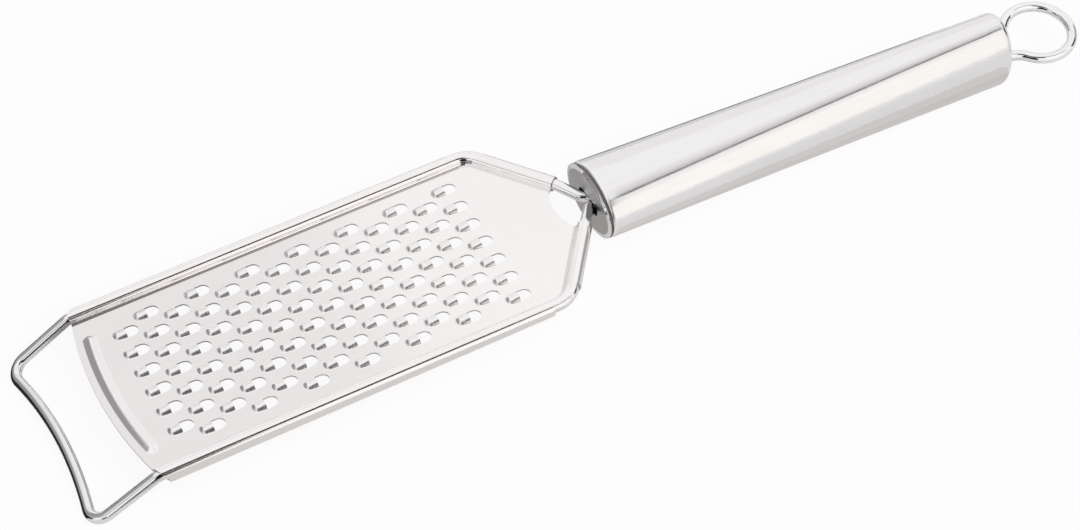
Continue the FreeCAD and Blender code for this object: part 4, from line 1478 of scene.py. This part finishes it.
# Studio
@dataclass(frozen=True)
class Card:
    """A card of the studio that only shows in the metal. Sizes in metres."""

    name: str
    tone: tuple[float, float, float]
    width: float
    height: float

    def stand(self) -> Matrix:
        """Where the card stands, facing the object."""
        raise NotImplementedError

    def facing(self, place: Vector, level: Vector) -> Matrix:
        """Turns the card to the object.

        Args:
            place: The card's middle.
            level: The direction of its width.

        Returns:
            The card's matrix.
        """
        side = level.normalized()
        front = (-place - side * -place.dot(side)).normalized()
        turn = Matrix((side, front.cross(side), front)).transposed().to_4x4()
        return Matrix.Translation(place) @ turn

    def place(self) -> None:
        """Adds the card to the studio."""
        bm = bmesh.new()
        bmesh.ops.create_grid(bm, x_segments=1, y_segments=1, size=0.5)
        bmesh.ops.scale(bm, vec=(self.width, self.height, 1), verts=bm.verts[:])
        bm.transform(self.stand())
        material = bpy.data.materials.new(self.name)
        board = NodeBoard(material)
        board.show(board.node("Emission", Color=(*self.tone, 1), Strength=1.0))
        card = add_object(self.name, bm, [material])
        card.visible_camera = False
        card.visible_diffuse = False
        card.visible_shadow = False


@dataclass(frozen=True)
class Panel(Card):
    """An upright card, placed by its azimuth and elevation in degrees as the object sees it."""

    azimuth: float = 0.0
    elevation: float = 0.0
    distance: float = 1.2

    def stand(self) -> Matrix:
        """Where the panel stands.

        Returns:
            The panel's matrix.
        """
        azimuth, elevation = math.radians(self.azimuth), math.radians(self.elevation)
        flat = Vector((math.cos(azimuth), math.sin(azimuth), 0))
        middle = (flat * math.cos(elevation) + UP * math.sin(elevation)) * self.distance
        return self.facing(middle, flat.cross(UP))


@dataclass(frozen=True)
class Batten(Card):
    """A narrow card that hangs between two points. Its width runs from the first point to the second."""

    start: tuple[float, float, float] = (0.0, 0.0, 1.0)
    end: tuple[float, float, float] = (1.0, 0.0, 1.0)

    def stand(self) -> Matrix:
        """Where the batten hangs."""
        start, end = Vector(self.start), Vector(self.end)
        return self.facing((start + end) / 2, end - start)


@dataclass(frozen=True)
class Cloth(Card):
    """A card that lies on the floor, its middle at a place; most are painted shadows, and one is a painted
    lighter patch.
    """

    middle: tuple[float, float, float] = (0.0, 0.0, 0.001)

    def stand(self) -> Matrix:
        """Where the cloth lies."""
        return Matrix.Translation(Vector(self.middle))


@dataclass
class Studio:
    """The pale floor, the white surroundings, a soft lamp and the cards round the object, painted shadows on
    the floor among them.
    """

    floor_size: float = 12.0
    floor_tone: float = 0.86
    floor_white: float = 0.92
    sky_light: float = 0.45
    lamp_size: tuple[float, float] = (1.6, 1.2)
    lamp_power: float = 26.0
    lamp_place: tuple[float, float, float] = (0.3, -1.2, 1.5)
    cards: tuple[Card, ...] = (
        Panel("near_panel", (1.11, 1.09, 1.045), 1.1, 0.95, -66, 26),
        Panel("near_flag", (0.012, 0.012, 0.016), 0.3, 0.42, -114, 22, 0.533),
        Panel("far_left_panel", (0.89, 0.875, 0.877), 0.5, 0.5, 96, 47),
        Panel("far_low_panel", (0.94, 0.925, 0.93), 0.95, 0.75, 55, 20),
        Panel("left_grey_card", (0.34, 0.33, 0.34), 1.02, 0.6, 127, 24),
        Panel("left_pale_card", (0.65, 0.64, 0.67), 1.0, 0.19, 127, 42.5),
        Panel("left_side_card", (0.42, 0.41, 0.44), 0.46, 0.9, 161, 31),
        Panel("left_dark_card", (0.03, 0.03, 0.035), 1.5, 0.3, 142, 3),
        Panel("near_left_card", (0.08, 0.08, 0.085), 0.5, 0.36, -141, 6),
        Panel("rear_dark_card", (0.08, 0.08, 0.08), 0.35, 0.75, -8, 10),
        Panel("rear_grey_card", (0.38, 0.38, 0.38), 0.38, 0.75, 9.5, 10),
        Batten("hem_batten", (0.03, 0.03, 0.03), 0.7, 0.44, (-0.42, -0.66, 1.0), (0.28, -0.66, 1.0)),
        Batten("shoulder_batten", (0.25, 0.25, 0.25), 0.48, 0.2, (-0.40, -0.66, 0.97), (-0.82, -0.47, 0.74)),
        Batten("neck_batten", (0.3, 0.3, 0.3), 0.67, 0.16, (-0.82, -0.47, 0.74), (-1.09, 0.09, 0.49)),
        Batten("handle_batten", (0.03, 0.03, 0.03), 0.7, 0.072, (0.32, -0.484, 1.06), (0.98, -0.355, 0.98)),
        Batten("handle_shade", (0.6, 0.585, 0.59), 0.7, 0.09, (0.32, -0.409, 1.091), (0.98, -0.28, 1.011)),
        Batten("handle_half_shade", (0.78, 0.765, 0.77), 0.72, 0.24,
               (0.33, -0.345, 1.157), (1.01, -0.212, 1.07)),
        Batten("handle_pale_shade", (0.9, 0.885, 0.89), 0.74, 0.42,
               (0.34, -0.27, 1.225), (1.04, -0.13, 1.14)),
        Cloth("left_dark_cloth", (0.025, 0.025, 0.03), 1.322, 1.08, (-0.8275, 0.512, 0.0001)),
        # Painted shadows on the floor beside and inside the foot, which only the metal reflects.
        Cloth("near_foot_painted_shadow", (0.2, 0.195, 0.19), 0.155, 0.068, (-0.2225, -0.096, 0.0001)),
        Cloth("mid_foot_painted_shadow", (0.2, 0.195, 0.19), 0.01, 0.034, (-0.15, -0.013, 0.0001)),
        # Painted light: a paler patch that lifts the plate's shadow on the floor under the neck.
        Cloth("neck_painted_light", (0.62, 0.615, 0.61), 0.08, 0.09, (-0.03, 0.04, 0.0001)),
        Cloth("near_side_cloth", (0.7, 0.685, 0.67), 0.15, 0.16, (-0.075, -0.118, 0.0001)),
        # Painted shadow of the handle on the floor, darkest on its far side and graded beneath it, which only
        # the metal reflects.
        Cloth("handle_far_painted_shadow", (0.25, 0.245, 0.25), 0.15, 0.05, (0.068, 0.045, 0.0001)),
        Cloth("handle_near_painted_shadow", (0.7, 0.68, 0.67), 0.16, 0.046, (0.068, -0.003, 0.0001)),
        Cloth("handle_mid_painted_shadow", (0.64, 0.62, 0.61), 0.157, 0.034, (0.068, 0.003, 0.00012)),
        Cloth("handle_deep_painted_shadow", (0.57, 0.55, 0.54), 0.154, 0.024, (0.068, 0.008, 0.00014)),
    )

    def light_world(self) -> None:
        """White surroundings for the camera and the metal, and softer light from them on the floor."""
        world = bpy.data.worlds.new("studio_white")
        bpy.context.scene.world = world
        board = NodeBoard(world)
        path = board.node("LightPath")
        seen = path.outputs["Is Camera Ray"]
        for name in ("Is Glossy Ray", "Is Transmission Ray"):
            either = board.node("Math", operation="MAXIMUM")
            board.join(seen, either.inputs[0])
            board.join(path.outputs[name], either.inputs[1])
            seen = either.outputs["Value"]
        soft = board.node("Background", Strength=self.sky_light, Color=WHITE)
        white = board.node("Background", Strength=1.0, Color=WHITE)
        board.show(board.mixed(seen, soft, white), "World")

    def lay_floor(self) -> None:
        """A pale floor that the camera sees near white, with the object's soft shadow on it."""
        bm = bmesh.new()
        bmesh.ops.create_grid(bm, x_segments=1, y_segments=1, size=self.floor_size / 2)
        material = bpy.data.materials.new("pale_floor")
        board = NodeBoard(material)
        matt = board.node("BsdfDiffuse", Color=(self.floor_tone, self.floor_tone, self.floor_tone, 1))
        white = board.node("Emission", Strength=1.0)
        share = board.node("Math", operation="MULTIPLY")
        share.inputs[1].default_value = self.floor_white
        board.join(board.node("LightPath").outputs["Is Camera Ray"], share.inputs[0])
        board.show(board.mixed(share.outputs["Value"], matt, white))
        add_object("studio_floor", bm, [material])

    def hang_lamp(self) -> None:
        """One large soft lamp over the near side of the floor."""
        data = bpy.data.lights.new("near_lamp", "AREA")
        data.shape = "RECTANGLE"
        data.size, data.size_y = self.lamp_size
        data.energy = self.lamp_power
        lamp = bpy.data.objects.new("near_lamp", data)
        lamp.location = self.lamp_place
        lamp.rotation_euler = (-lamp.location).to_track_quat("-Z", "Y").to_euler()
        lamp.visible_camera = False
        lamp.visible_glossy = False
        bpy.context.scene.collection.objects.link(lamp)

    def build(self) -> None:
        """Sets up the whole studio."""
        self.light_world()
        self.lay_floor()
        self.hang_lamp()
        for card in self.cards:
            card.place()
        log.info("studio: floor, surroundings, a lamp and %d cards", len(self.cards))


@dataclass(frozen=True)
class PhotoCamera:
    """The photograph's camera: place and range in metres, turns in degrees, lens and sensor in mm."""

    place: tuple[float, float, float] = (-0.282122, -0.575040, 0.652866)
    turns: tuple[float, float, float] = (43.984861, 2.134783, -27.137844)
    lens: float = 104.95
    sensor: float = 36.0
    clip: tuple[float, float] = (0.05, 50.0)

    def build(self) -> None:
        """Adds the camera and makes it the scene's."""
        data = bpy.data.cameras.new("photo_camera")
        data.lens = self.lens
        data.sensor_width = self.sensor
        data.clip_start, data.clip_end = self.clip
        camera = bpy.data.objects.new("photo_camera", data)
        camera.location = self.place
        camera.rotation_euler = [math.radians(turn) for turn in self.turns]
        bpy.context.scene.collection.objects.link(camera)
        bpy.context.scene.camera = camera


def main() -> None:
    """Builds the camera, the studio and every sub-assembly in order."""
    logging.basicConfig(level=logging.INFO, format="%(name)s: %(message)s")
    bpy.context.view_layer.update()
    bpy.context.scene.view_settings.view_transform = "Standard"
    PhotoCamera().build()
    Studio().build()
    wire = WireFrame()
    wire.build()
    GratingPlate(wire, ToothPunch(), Bead()).build()
    handle = OvalHandle()
    handle.build_tube()
    handle.build_cap()
    handle.build_plug()
    HangingLoop(handle).build()
    InnerFittings().dress()


if __name__ == "__main__":
    main()
